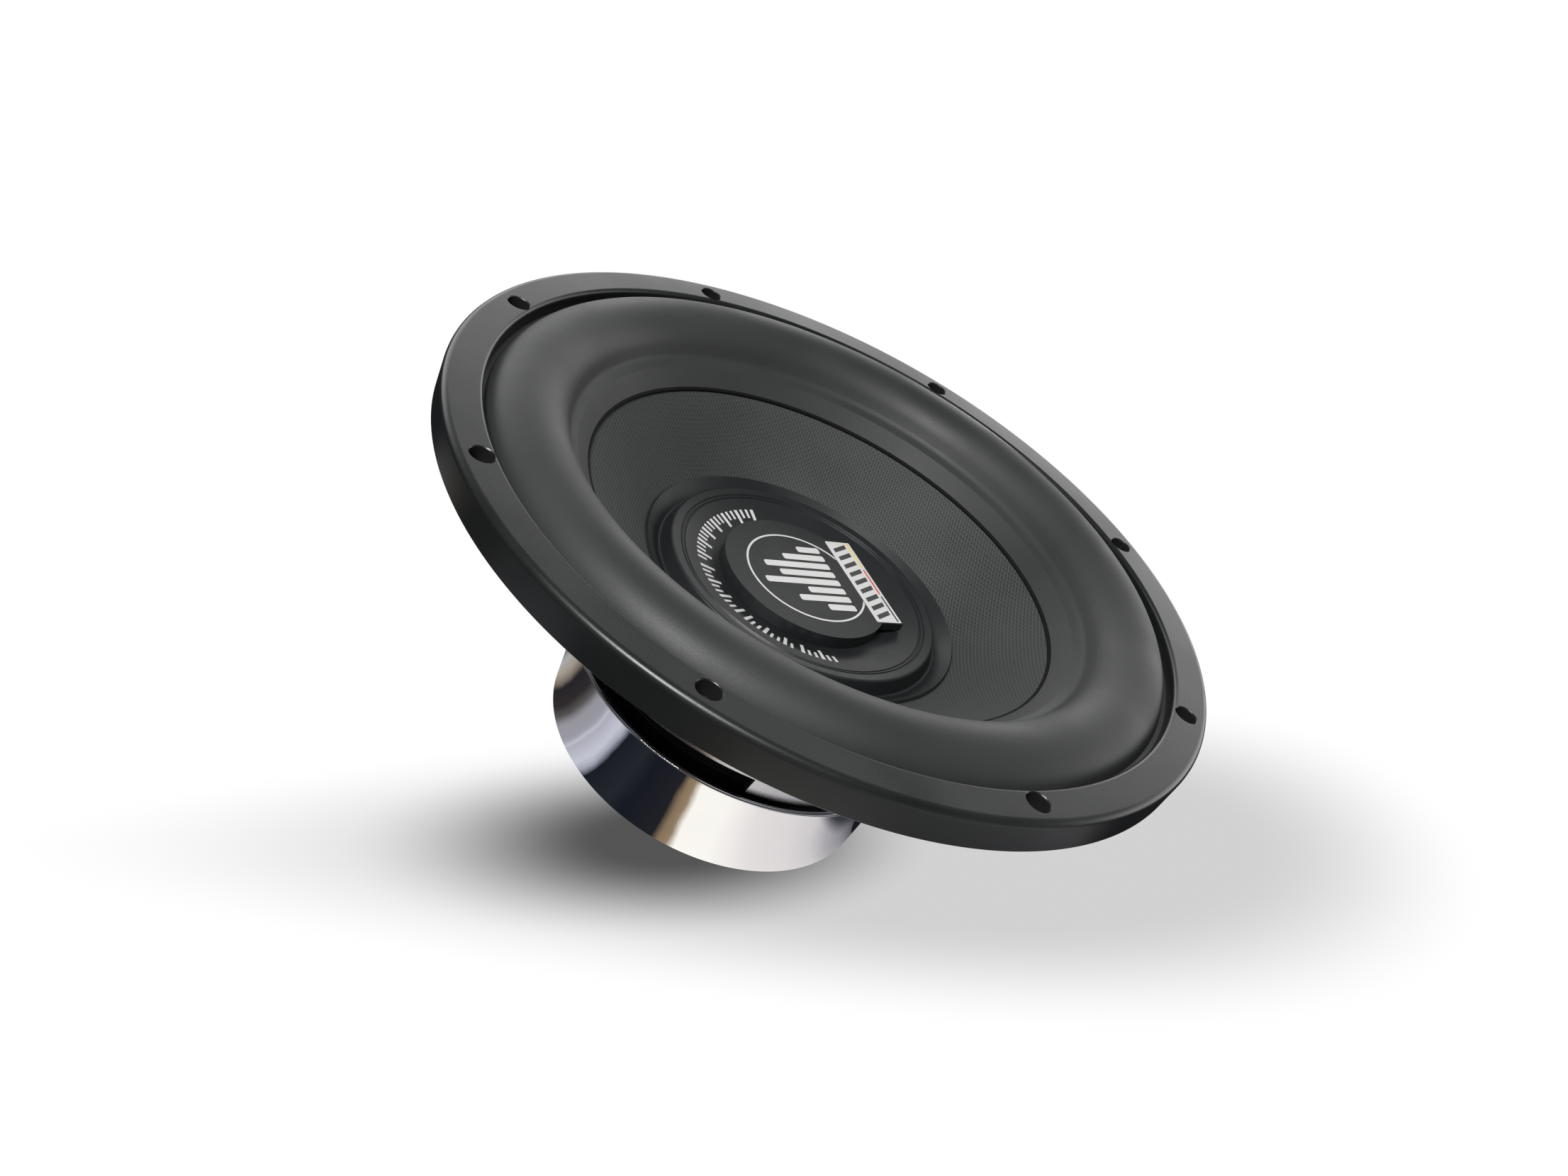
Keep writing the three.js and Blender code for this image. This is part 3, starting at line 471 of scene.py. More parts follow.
def arc(centre: tuple[float, float], radius: float, start: float, end: float, steps: int = 8) -> Outline:
    """Points on an arc.

    Args:
        centre: its middle.
        radius: its radius.
        start: the first point's angle, in degrees.
        end: the last point's angle, in degrees.
        steps: chords in it.
    Returns:
        The points.
    """
    angles = [math.radians(start + (end - start) * i / steps) for i in range(steps + 1)]
    return [(centre[0] + radius * math.cos(a), centre[1] + radius * math.sin(a)) for a in angles]


def rounded(path: Outline, radii: dict[int, float], steps: int = 6) -> Outline:
    """A path with some corners rounded.

    Args:
        path: its points.
        radii: the radius at a corner, by the corner's place in the path.
        steps: chords in each round corner.
    Returns:
        The path with its arcs.
    """
    made: Outline = []
    for i, point in enumerate(path):
        if i not in radii:
            made.append(point)
            continue
        corner = Vector(point)
        back = Vector(path[i - 1]) - corner
        ahead = Vector(path[(i + 1) % len(path)]) - corner
        half = back.angle(ahead) / 2
        reach = min(radii[i] / math.tan(half), 0.49 * back.length, 0.49 * ahead.length)
        radius = reach * math.tan(half)
        first, last = corner + back.normalized() * reach, corner + ahead.normalized() * reach
        middle = corner + (back.normalized() + ahead.normalized()).normalized() * (radius / math.sin(half))
        sweep = math.pi - 2 * half
        side = math.copysign(1.0, back.x * ahead.y - back.y * ahead.x)
        for k in range(steps + 1):
            turn = Matrix.Rotation(-side * sweep * k / steps, 2)
            made.append(tuple(middle + turn @ (first - middle)))
        made[-1] = tuple(last)
    return made


def sheet(path: Outline, thickness: float) -> Outline:
    """The closed outline of a sheet under a path that runs outwards.

    Args:
        path: the sheet's upper face, from the inside out.
        thickness: the sheet's own.
    Returns:
        The upper face, then the lower face on the way back.
    """
    points = np.array(path, float)
    steps = np.diff(points, axis=0)
    steps /= np.linalg.norm(steps, axis=1)[:, None]
    before, after = np.vstack([steps[:1], steps]), np.vstack([steps, steps[-1:]])
    normal = np.stack([(before + after)[:, 1], -(before + after)[:, 0]], axis=1)
    normal /= np.linalg.norm(normal, axis=1)[:, None]
    side = np.stack([before[:, 1], -before[:, 0]], axis=1)
    under = points + normal * (thickness / (normal * side).sum(axis=1))[:, None]
    under[points[:, 0] < ON_AXIS, 0] = 0.0
    return list(path) + [tuple(p) for p in under[::-1]]


def section(inner: float, outer: float, low: float, high: float) -> Outline:
    """The section of a plain ring, or of a rod where the inner radius is 0.

    Args:
        inner: the inner radius.
        outer: the outer radius.
        low: the height of the underside.
        high: the height of the top.
    Returns:
        The outline.
    """
    return [(inner, low), (outer, low), (outer, high), (inner, high)]


def screw_section(shank_r: float, head_r: float, low: float, neck: float, high: float) -> Outline:
    """The section of a headed screw.

    Args:
        shank_r: the shank's radius.
        head_r: the head's radius.
        low: the height of the tip.
        neck: the height of the head's underside.
        high: the height of the head's top.
    Returns:
        The outline.
    """
    return [(0.0, low), (shank_r, low), (shank_r, neck), (head_r, neck), (head_r, high), (0.0, high)]


def plate_outline(width: float, height: float, corner: float, steps: int = 8) -> Outline:
    """A rectangle with round corners, about the origin.

    Args:
        width: its length along x.
        height: its length along y.
        corner: the radius of its corners.
        steps: chords in each corner.
    Returns:
        The outline.
    """
    x, y = width / 2 - corner, height / 2 - corner
    corners = [((x, y), 0.0), ((-x, y), 90.0), ((-x, -y), 180.0), ((x, -y), 270.0)]
    return [p for centre, start in corners for p in arc(centre, corner, start, start + 90.0, steps)]


# ------------------------------------------------------------------------- shapes and pieces


class Shape:
    """A closed mesh that is being put together."""

    def __init__(self) -> None:
        """Starts an empty shape."""
        self.mesh = bmesh.new()

    @classmethod
    def turned(cls, outline: Outline, turn: Turn = Turn.MEDIUM) -> "Shape":
        """A closed (radius, height) outline turned about Z.

        Args:
            outline: its points; where it meets the axis it has a radius of 0.
            turn: facets round it.
        Returns:
            The shape.
        """
        shape, steps = cls(), turn.value
        angles = [2 * math.pi * i / steps for i in range(steps)]
        rings = []
        for radius, height in outline:
            if radius < ON_AXIS:
                rings.append([shape.mesh.verts.new((0.0, 0.0, height))] * steps)
            else:
                rings.append([shape.mesh.verts.new((radius * math.cos(a), radius * math.sin(a), height))
                              for a in angles])
        shape._skin(rings, closed=True)
        return shape

    @classmethod
    def raised(cls, outline: Outline, low: float, high: float) -> "Shape":
        """A flat outline raised from one height to another.

        Args:
            outline: its points in x and y.
            low: the height of its underside.
            high: the height of its top.
        Returns:
            The shape.
        """
        shape = cls()
        rings = [[shape.mesh.verts.new((x, y, z)) for x, y in outline] for z in (low, high)]
        shape._skin(rings, closed=False)
        for ring in rings:
            shape.mesh.faces.new(ring)
        shape._face_out()
        return shape

    @classmethod
    def tube(cls, route: Sequence[Vector], radius: float, sides: int = 8) -> "Shape":
        """A round tube along a route, closed at both ends.

        Args:
            route: the points that it follows.
            radius: its radius.
            sides: facets round it.
        Returns:
            The shape.
        """
        shape, rings = cls(), []
        normal = (route[1] - route[0]).orthogonal().normalized()
        for i, point in enumerate(route):
            ahead = (route[min(i + 1, len(route) - 1)] - route[max(i - 1, 0)]).normalized()
            normal = (normal - ahead * normal.dot(ahead)).normalized()
            side = ahead.cross(normal)
            angles = [2 * math.pi * k / sides for k in range(sides)]
            rings.append([shape.mesh.verts.new(point + (normal * math.cos(a) + side * math.sin(a)) * radius)
                          for a in angles])
        shape._skin(rings, closed=False)
        shape.mesh.faces.new(rings[0])
        shape.mesh.faces.new(rings[-1])
        shape._face_out()
        return shape

    def _skin(self, rings: list, closed: bool) -> None:
        """Joins each ring of vertices to the next, and the last to the first where it is closed."""
        after = rings[1:] + rings[:1] if closed else rings[1:]
        for low, high in zip(rings, after):
            for i, vertex in enumerate(low):
                j = (i + 1) % len(low)
                corners = list(dict.fromkeys((vertex, low[j], high[j], high[i])))
                if len(corners) > 2:
                    self.mesh.faces.new(corners)
        self._face_out()

    def _face_out(self) -> None:
        """Turns every face outwards."""
        bmesh.ops.recalc_face_normals(self.mesh, faces=self.mesh.faces)

    def moved(self, matrix: Matrix) -> "Shape":
        """This shape, moved by a matrix."""
        bmesh.ops.transform(self.mesh, matrix=matrix, verts=self.mesh.verts)
        return self

    def at(self, x: float, y: float = 0.0, z: float = 0.0) -> "Shape":
        """This shape, moved along."""
        return self.moved(Matrix.Translation((x, y, z)))

    def turned_by(self, degrees: float, axis: str = "Z") -> "Shape":
        """This shape, turned about an axis through the origin."""
        return self.moved(Matrix.Rotation(math.radians(degrees), 4, axis))

    def warped(self, places: np.ndarray) -> "Shape":
        """This shape with a new place for each vertex."""
        for vertex, place in zip(self.mesh.verts, places):
            vertex.co = place
        return self

    def places(self) -> np.ndarray:
        """The place of each vertex."""
        return np.array([v.co for v in self.mesh.verts], float)

    def copy(self) -> "Shape":
        """Another shape like this one."""
        other = Shape()
        other.mesh.free()
        other.mesh = self.mesh.copy()
        return other

    def around(self, count: int, radius: float, start_deg: float = 0.0) -> "Shape":
        """Copies of this shape on a circle about Z.

        Args:
            count: how many.
            radius: the circle's radius.
            start_deg: the first one's angle.
        Returns:
            All of them as one shape.
        """
        angles = [start_deg + 360.0 * i / count for i in range(count)]
        return Shape.of(self.copy().at(radius).turned_by(angle) for angle in angles)

    @classmethod
    def of(cls, shapes: Iterable["Shape"]) -> "Shape":
        """Several shapes that don't touch, as one."""
        whole = cls()
        for shape in shapes:
            part = bpy.data.meshes.new("part")
            shape.mesh.to_mesh(part)
            whole.mesh.from_mesh(part)
            bpy.data.meshes.remove(part)
        return whole


class Piece:
    """One visible piece of the speaker."""

    SHARP = math.radians(38.0)

    def __init__(self, name: str, shape: Shape) -> None:
        """Makes an object of a shape."""
        mesh = bpy.data.meshes.new(name)
        shape.mesh.to_mesh(mesh)
        shape.mesh.free()
        self.object = bpy.data.objects.new(name, mesh)
        bpy.context.scene.collection.objects.link(self.object)

    def changed(self, kind: str, **settings: object) -> "Piece":
        """This piece with a modifier applied to it.

        Args:
            kind: the modifier's type.
            settings: its properties.
        Returns:
            The piece.
        """
        step = self.object.modifiers.new(kind.lower(), kind)
        for key, value in settings.items():
            setattr(step, key, value)
        bpy.context.view_layer.update()
        graph = bpy.context.evaluated_depsgraph_get()
        made = bpy.data.meshes.new_from_object(self.object.evaluated_get(graph))
        old, name = self.object.data, self.object.data.name
        self.object.modifiers.clear()
        self.object.data = made
        bpy.data.meshes.remove(old)
        made.name = name
        return self

    def _with(self, operation: str, tool: Shape) -> "Piece":
        """This piece with a shape cut from it or joined to it."""
        other = Piece("tool", tool).object
        self.changed("BOOLEAN", operation=operation, object=other, solver="EXACT")
        bpy.data.objects.remove(other)
        return self

    def cut(self, tool: Shape) -> "Piece":
        """This piece less a shape."""
        return self._with("DIFFERENCE", tool)

    def fused(self, tool: Shape) -> "Piece":
        """This piece and a shape as one solid."""
        return self._with("UNION", tool)

    def eased(self, width: float, segments: int = 2, limit_deg: float = 40.0) -> "Piece":
        """This piece with its sharp edges rounded over.

        Args:
            width: how wide each round is.
            segments: faces across it.
            limit_deg: edges sharper than this are rounded.
        Returns:
            The piece.
        """
        return self.changed("BEVEL", width=width, segments=segments, limit_method="ANGLE",
                            angle_limit=math.radians(limit_deg), use_clamp_overlap=True)

    def dressed(self, finish: Finish, *rest: Finish) -> "Piece":
        """This piece with its finish, smooth except at sharp edges."""
        mesh = bmesh.new()
        mesh.from_mesh(self.object.data)
        for edge in mesh.edges:
            edge.smooth = len(edge.link_faces) == 2 and edge.calc_face_angle(0.0) < self.SHARP
        for face in mesh.faces:
            face.smooth = True
        mesh.to_mesh(self.object.data)
        mesh.free()
        for each in (finish, *rest):
            self.object.data.materials.append(each.material())
        weighted = self.object.modifiers.new("normals", "WEIGHTED_NORMAL")
        weighted.keep_sharp = True
        return self

    def riding(self, body: Body, *nodes: str) -> "Piece":
        """This piece on a body, in place of CAD nodes."""
        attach(self.object, body.value)
        return self.standing_for(*nodes)

    def bending(self, start: Body, end: Body, shares: np.ndarray, *nodes: str) -> "Piece":
        """This piece between two bodies, in place of CAD nodes.

        Args:
            start: the body that share 0 follows.
            end: the body that share 1 follows.
            shares: each vertex's share.
            nodes: the nodes that it stands for.
        Returns:
            The piece.
        """
        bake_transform(self.object, start.value, end.value, start=(0, 0, 0), end=(0, 0, 1))
        attribute = self.object.data.attributes["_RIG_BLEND"]
        attribute.data.foreach_set("value", shares.astype(np.float32))
        return self.standing_for(*nodes)

    def standing_for(self, *nodes: str) -> "Piece":
        """Hides the CAD nodes that this piece stands for, and reports it."""
        if nodes:
            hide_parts(*nodes)
        LOG.info("%-24s %7d faces  %s", self.object.name, len(self.object.data.polygons), ", ".join(nodes))
        return self

    def places(self) -> np.ndarray:
        """The place of each vertex."""
        return np.array([v.co for v in self.object.data.vertices], float)


def plain_ring(name: str, node: str, inner: float, edge: float, steps: int = 4) -> Piece:
    """A turned ring with round edges, in the place of a node.

    Args:
        name: the piece's name.
        node: the node.
        inner: the ring's inner radius.
        edge: the radius of its edges.
        steps: chords in each edge.
    Returns:
        The piece.
    """
    low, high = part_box(node)
    outline = section(inner, high.x, low.z, high.z)
    return Piece(name, Shape.turned(rounded(outline, dict.fromkeys(range(4), edge), steps)))


def smooth_step(values: np.ndarray, low: float, high: float) -> np.ndarray:
    """A smooth step from 0 at low to 1 at high."""
    share = np.clip((values - low) / (high - low), 0.0, 1.0)
    return share * share * (3.0 - 2.0 * share)


# ------------------------------------------------------------------------- places in the frame


@dataclass(frozen=True)
class Plan:
    """Places that several sub-assemblies share, worked out from the frame's nodes."""

    trim_low: Vector = field(default_factory=lambda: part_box("trim_ring")[0])
    trim_high: Vector = field(default_factory=lambda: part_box("trim_ring")[1])
    trim_width: float = 15.0 * MM
    bolt_inset: float = 9.3 * MM
    bolt_count: int = 8
    shelf_inner_r: float = 76.0 * MM
    shelf_width: float = 9.0 * MM
    shelf_drop: float = 66.0 * MM
    wall_top_inset: float = 24.0 * MM
    wall_top_drop: float = 15.5 * MM
    basket_sheet: float = 2.0 * MM
    cone_wall: float = 1.2 * MM
    neck_r: float = 26.6 * MM
    arm_count: int = 4
    arm_width_deg: float = 34.0
    arm_turn_deg: float = 36.5

    @property
    def outer_r(self) -> float:
        """The trim ring's outer radius."""
        return self.trim_high.x

    @property
    def face(self) -> float:
        """The height of the trim ring's face."""
        return self.trim_high.z

    @property
    def trim_inner_r(self) -> float:
        """The trim ring's inner radius."""
        return self.outer_r - self.trim_width

    @property
    def bolt_r(self) -> float:
        """The radius of the bolt circle."""
        return self.outer_r - self.bolt_inset

    @property
    def shelf_z(self) -> float:
        """The height of the shelf that carries the spider."""
        return self.face - self.shelf_drop

    @property
    def shelf_outer_r(self) -> float:
        """The outer radius of the shelf."""
        return self.shelf_inner_r + self.shelf_width

    @property
    def wall_top(self) -> tuple[float, float]:
        """The top of the basket's slanted wall."""
        return self.outer_r - self.wall_top_inset, self.face - self.wall_top_drop


PLAN = Plan()


# ------------------------------------------------------------------------- rim


@dataclass
class Rim:
    """The moulded trim ring over the flange, and the foam gasket under it."""

    thickness: float = 6.0 * MM
    skirt: float = 3.5 * MM
    draft: float = 0.9 * MM
    outer_edge: float = 2.6 * MM
    inner_edge: float = 1.7 * MM
    hole_r: float = 4.4 * MM
    hole_chamfer: float = 0.35 * MM
    flange_hole_r: float = 3.6 * MM
    gasket_edge: float = 1.0 * MM
    gasket_width: float = 10.0 * MM

    def ring(self) -> Piece:
        """The trim ring, with its eight bolt holes."""
        inner, outer, top, bottom = PLAN.trim_inner_r, PLAN.outer_r, PLAN.face, PLAN.trim_low.z
        ceiling, skirt_r = top - self.thickness, outer - self.draft - self.skirt
        outline = [
            (inner, ceiling), (skirt_r, ceiling), (skirt_r, bottom), (outer - self.draft, bottom),
            (outer, top), (inner, top),
        ]
        radii = {0: 0.4 * MM, 1: 1.0 * MM, 2: 0.5 * MM, 3: 0.6 * MM, 4: self.outer_edge, 5: self.inner_edge}
        ring = Shape.turned(rounded(outline, radii, 7), Turn.LARGE)
        return Piece("trim_ring_moulding", ring).cut(self.holes())

    def holes(self) -> Shape:
        """Cutters for the bolt holes, wider where they meet the face."""
        top, low = PLAN.face, PLAN.trim_low.z
        flare = self.hole_r + self.hole_chamfer
        outline = [
            (0.0, low), (self.hole_r, low), (self.hole_r, top - self.hole_chamfer), (flare, top),
            (flare, top + PAST), (0.0, top + PAST),
        ]
        return Shape.turned(outline, Turn.SMALL).around(PLAN.bolt_count, PLAN.bolt_r)

    def gasket(self) -> Piece:
        """The foam gasket that seals against the baffle."""
        low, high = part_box("rear_gasket")
        inner = high.x - self.gasket_width
        outline = section(inner, high.x, low.z, high.z)
        radii = dict.fromkeys((0, 1), self.gasket_edge) | dict.fromkeys((2, 3), 0.3 * MM)
        hole = Shape.turned(section(0.0, self.flange_hole_r, low.z - PAST, high.z + PAST), Turn.COARSE)
        ring = Piece("rear_gasket_foam", Shape.turned(rounded(outline, radii), Turn.LARGE))
        return ring.cut(hole.around(PLAN.bolt_count, PLAN.bolt_r))

    def build(self) -> None:
        """Makes and dresses the rim."""
        self.ring().dressed(TRIM_RUBBER).riding(Body.FRAME, "trim_ring")
        self.gasket().dressed(FOAM).riding(Body.FRAME, "rear_gasket")


# ------------------------------------------------------------------------- diaphragm


@dataclass
class Diaphragm:
    """The surround, the cone, the dust cap and its badge."""

    lip_thickness: float = 1.6 * MM
    surround_wall: float = 2.0 * MM
    lip_reach: float = 9.0 * MM
    roll_r: float = 16.2 * MM
    roll_clear: float = 1.0 * MM
    roll_rise: float = 5.1 * MM
    roll_start_deg: float = 158.0
    crease_inset: float = 20.5 * MM
    crease_drop: float = 10.9 * MM
    band_width: float = 6.0 * MM
    band_drop: float = 5.7 * MM
    band_wall: float = 1.0 * MM
    notch_depth: float = 4.0 * MM
    neck_height: float = 3.9 * MM
    cap_wall: float = 1.2 * MM
    floor_r: float = 36.0 * MM
    floor_drop: float = 40.7 * MM
    dish_r: float = 51.5 * MM
    dish_drop: float = 36.8 * MM
    edge_r: float = 55.6 * MM
    edge_drop: float = 36.3 * MM
    foot_r: float = 57.8 * MM
    foot_drop: float = 42.9 * MM
    flange_r: float = 64.4 * MM
    flange_drop: float = 37.7 * MM
    groove: float = 0.35 * MM

    def __post_init__(self) -> None:
        """Works out where the roll, the crease and the band lie."""
        self.roll_middle = (PLAN.trim_inner_r - self.roll_clear - self.roll_r,
                            PLAN.face + self.roll_rise - self.roll_r)
        self.crease = (self.roll_middle[0] - self.crease_inset, PLAN.face - self.crease_drop)
        self.band = (self.crease[0] - self.band_width, self.crease[1] - self.band_drop)
        self.lip_top = PLAN.face - Rim.thickness - GLUE_GAP

    def surround(self) -> Piece:
        """The half roll with its inner band and the lip under the trim ring."""
        (middle_r, middle_z), lip_r = self.roll_middle, PLAN.trim_inner_r + self.lip_reach
        rise = self.lip_top - middle_z
        end_deg = math.degrees(math.atan2(rise, math.sqrt(self.roll_r**2 - rise**2)))
        roll = arc(self.roll_middle, self.roll_r, self.roll_start_deg, end_deg, 48)
        bend = (roll[0][0] - 1.8 * MM, roll[0][1] - 3.9 * MM)
        path = [self.band, self.crease, bend, *roll, (lip_r, self.lip_top)]
        last = len(path) - 2
        top = rounded(path, {1: 0.8 * MM, 2: 5.0 * MM, last: 0.8 * MM})
        under = sheet(top, self.surround_wall)[len(top):]
        under = [(r, max(z, self.lip_top - self.lip_thickness) if r > middle_r + self.roll_r * 0.8 else z)
                 for r, z in under]
        under = [(r, z) for r, z in under if r > self.crease[0] - 0.5 * MM]
        foot = [(self.crease[0], self.crease[1] - self.band_wall - GLUE_GAP),
                (self.band[0], self.band[1] - self.band_wall)]
        outline = rounded([*top, *under, *foot], {0: 0.3 * MM})
        notch = section(0.0, Rim.hole_r, self.lip_top - self.notch_depth, self.lip_top + PAST)
        notches = Shape.turned(notch, Turn.COARSE).around(PLAN.bolt_count, PLAN.bolt_r)
        return Piece("surround_roll", Shape.turned(outline, Turn.LARGE)).cut(notches)

    def surround_shares(self, piece: Piece) -> np.ndarray:
        """How far each point of the surround follows the cone, from the band out to the lip."""
        radius = np.linalg.norm(piece.places()[:, :2], axis=1)
        return 1.0 - smooth_step(radius, self.crease[0], PLAN.trim_inner_r - 2.0 * MM)

    def cone(self) -> Piece:
        """The cone, from its neck out under the surround's band."""
        neck_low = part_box("cone")[0].z + GLUE_GAP
        path = [
            (PLAN.neck_r, neck_low),
            (PLAN.neck_r, neck_low + self.neck_height),
            (self.foot_r, PLAN.face - self.foot_drop - self.cap_wall * 1.5),
            (self.flange_r, PLAN.face - self.flange_drop - self.cap_wall * 1.3),
            (self.band[0], self.band[1] - self.band_wall - 0.25 * MM),
            (self.crease[0] - 0.3 * MM, self.crease[1] - self.band_wall - 0.5 * MM),
        ]
        path = rounded(path, {1: 3.0 * MM, 2: 6.0 * MM, 3: 4.0 * MM})
        return Piece("cone_shell", Shape.turned(sheet(path, PLAN.cone_wall), Turn.LARGE))

    def glue_and_shade_bead(self) -> Piece:
        """The line of black glue where the surround's band ends on the cone; its black is also painted shade
        for the shadow in that joint.
        """
        middle = (self.band[0] - 0.35 * MM, self.band[1] - self.band_wall + GLUE_GAP)
        return Piece("band_glue_and_shade_line", Shape.turned(arc(middle, 0.75 * MM, 0.0, 330.0, 11), Turn.LARGE))

    def cap(self) -> Piece:
        """The dust cap: a shallow dish with two fine grooves, a rolled edge and a flange."""
        face = PLAN.face
        groove_r, slope = self.dish_r, (self.floor_drop - self.dish_drop) / (self.dish_r - self.floor_r)
        dish_z = face - self.dish_drop
        grooves = []
        for start in (groove_r - 2.0 * MM, groove_r - 0.6 * MM):
            z = dish_z - (groove_r - start) * slope
            grooves += [(start, z), (start + 0.3 * MM, z - self.groove), (start + 0.7 * MM, z - self.groove),
                        (start + 1.0 * MM, z + slope * MM)]
        path = [
            (0.0, face - self.floor_drop),
            (self.floor_r, face - self.floor_drop),
            *grooves,
            (self.edge_r, face - self.edge_drop),
            (self.foot_r, face - self.foot_drop),
            (self.flange_r, face - self.flange_drop),
        ]
        count = len(path)
        path = rounded(path, {count - 3: 1.1 * MM, count - 2: 0.9 * MM}, 5)
        return Piece("dust_cap_moulding", Shape.turned(sheet(path, self.cap_wall), Turn.LARGE))

    def build(self) -> None:
        """Makes and dresses the diaphragm."""
        surround = self.surround().dressed(ROLL_RUBBER)
        surround.bending(Body.FRAME, Body.CONE, self.surround_shares(surround), "surround")
        self.cone().dressed(CONE_CLOTH).riding(Body.CONE, "cone")
        self.glue_and_shade_bead().dressed(GLUE_AND_SHADE).riding(Body.CONE)
        self.cap().dressed(CAP_PLASTIC).riding(Body.CONE, "dust_cap")


@dataclass
class Badge:
    """The round badge with its bar, and the print on it and on the dust cap."""

    radius: float = 34.0 * MM
    thickness: float = 5.2 * MM
    edge: float = 0.9 * MM
    bar_near: float = 21.2 * MM
    bar_far: float = 34.2 * MM
    bar_half: float = 24.3 * MM
    bar_thickness: float = 3.4 * MM
    turn_deg: float = 47.1
    ink: float = 0.07 * MM
    circle_r: float = 24.8 * MM
    circle_line: float = 0.85 * MM
    scale_inner_r: float = 37.6 * MM
    scale_outer_r: float = 44.2 * MM
    levels: tuple[float, ...] = (13.0, 24.0, 17.5, 35.0, 26.0, 31.0, 20.0, 11.0)
    level_width: float = 3.3 * MM
    level_pitch: float = 4.8 * MM
    level_foot: float = 15.0 * MM
    scale_groups: tuple[tuple[float, float], ...] = (
        (141.0, 211.0), (218.0, 252.0), (258.0, 284.0), (290.0, 308.0))
    scale_pitch_deg: float = 3.6
    scale_half_deg: float = 0.75
    long_mark: float = 1.3  # how much wider each third mark is
    short_inset: float = 2.6 * MM
    stripe_count: int = 9
    stripe_pitch: float = 4.9 * MM
    stripe_slant: float = 1.5 * MM
    stripe_half: float = 1.15 * MM
    stripe_span: tuple[float, float] = (-4.2 * MM, 2.9 * MM)
    line_place: float = 4.6 * MM
    line_width: float = 0.7 * MM

    def __post_init__(self) -> None:
        """Finds the badge's faces."""
        self.bottom, self.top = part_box("centre_badge")[0].z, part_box("centre_badge")[1].z

    def body(self) -> Piece:
        """The badge itself."""
        disc = Shape.turned(section(0.0, self.radius, self.bottom, self.top), Turn.LARGE)
        outline = section(self.bar_near, self.bar_far, -self.bar_half, self.bar_half)
        bar = Shape.raised(outline, self.top - self.bar_thickness, self.top).turned_by(self.turn_deg)
        return Piece("centre_badge_moulding", disc).fused(bar).eased(0.5 * MM, 3, 50.0)

    def circle(self) -> Piece:
        """The printed circle."""
        inner, outer = self.circle_r - self.circle_line / 2, self.circle_r + self.circle_line / 2
        outline = section(inner, outer, self.top, self.top + self.ink)
        gap = Shape.raised(plate_outline(30 * MM, 60 * MM, MM), self.top - MM, self.top + MM)
        gap.at(self.bar_near + 15 * MM).turned_by(self.turn_deg)
        return Piece("badge_circle_print", Shape.turned(outline, Turn.LARGE)).cut(gap)

    def level_bars(self) -> Piece:
        """A row of level bars inside the circle."""
        bars = []
        for i, level in enumerate(self.levels):
            length = level * MM
            bar = plate_outline(length, self.level_width, self.level_width * 0.3)
            across = (i - (len(self.levels) - 1) / 2) * self.level_pitch
            shape = Shape.raised(bar, self.top, self.top + self.ink)
            bars.append(shape.at(self.level_foot - length / 2, across))
        return Piece("badge_level_print", Shape.of(bars).turned_by(self.turn_deg))

    def plate(self) -> list[Piece]:
        """The white plate on the bar with dark slanted marks and a coloured line along its outer edge."""
        middle, depth = (self.bar_near + self.bar_far) / 2, self.bar_far - self.bar_near
        top, length = self.top + self.ink, 2 * self.bar_half - 1.0 * MM
        plate = Shape.raised(plate_outline(depth - 0.8 * MM, length, 0.6 * MM), self.top, top)
        marks, slant, half = [], self.stripe_slant, self.stripe_half
        x0, x1 = self.stripe_span
        for i in range(self.stripe_count):
            y = (i - (self.stripe_count - 1) / 2) * self.stripe_pitch
            outline = [
                (x0, y - half - slant), (x1, y - half + slant), (x1, y + half + slant),
                (x0, y + half - slant),
            ]
            marks.append(Shape.raised(outline, top, top + self.ink))
        third = length / 3
        stretch = plate_outline(self.line_width, third - 1.2 * MM, 0.2 * MM)
        line = [Shape.raised(stretch, top, top + self.ink).at(self.line_place, (i - 1) * third)
                for i in range(3)]
        shapes = [("badge_plate", plate, WHITE_INK), ("badge_plate_marks", Shape.of(marks), DARK_INK),
                  ("badge_line_dark", line[0], DARK_INK), ("badge_line_red", line[1], RED_INK),
                  ("badge_line_yellow", line[2], YELLOW_INK)]
        return [Piece(name, shape.at(middle).turned_by(self.turn_deg)).dressed(ink)
                for name, shape, ink in shapes]

    def scale(self, cap: Diaphragm) -> Piece:
        """Level marks on the dust cap's dish, in four groups round the badge."""
        slope = (cap.floor_drop - cap.dish_drop) / (cap.dish_r - cap.floor_r)
        marks = []
        for start, end in self.scale_groups:
            count = round((end - start) / self.scale_pitch_deg)
            for i in range(count + 1):
                angle = start + (end - start) * i / count
                inner, half = self.scale_inner_r + self.short_inset, self.scale_half_deg
                if i % 3 == 0:
                    inner, half = self.scale_inner_r, half * self.long_mark
                marks.append(self.mark(inner, angle, half, cap, slope))
        return Piece("cap_level_scale", Shape.of(marks))

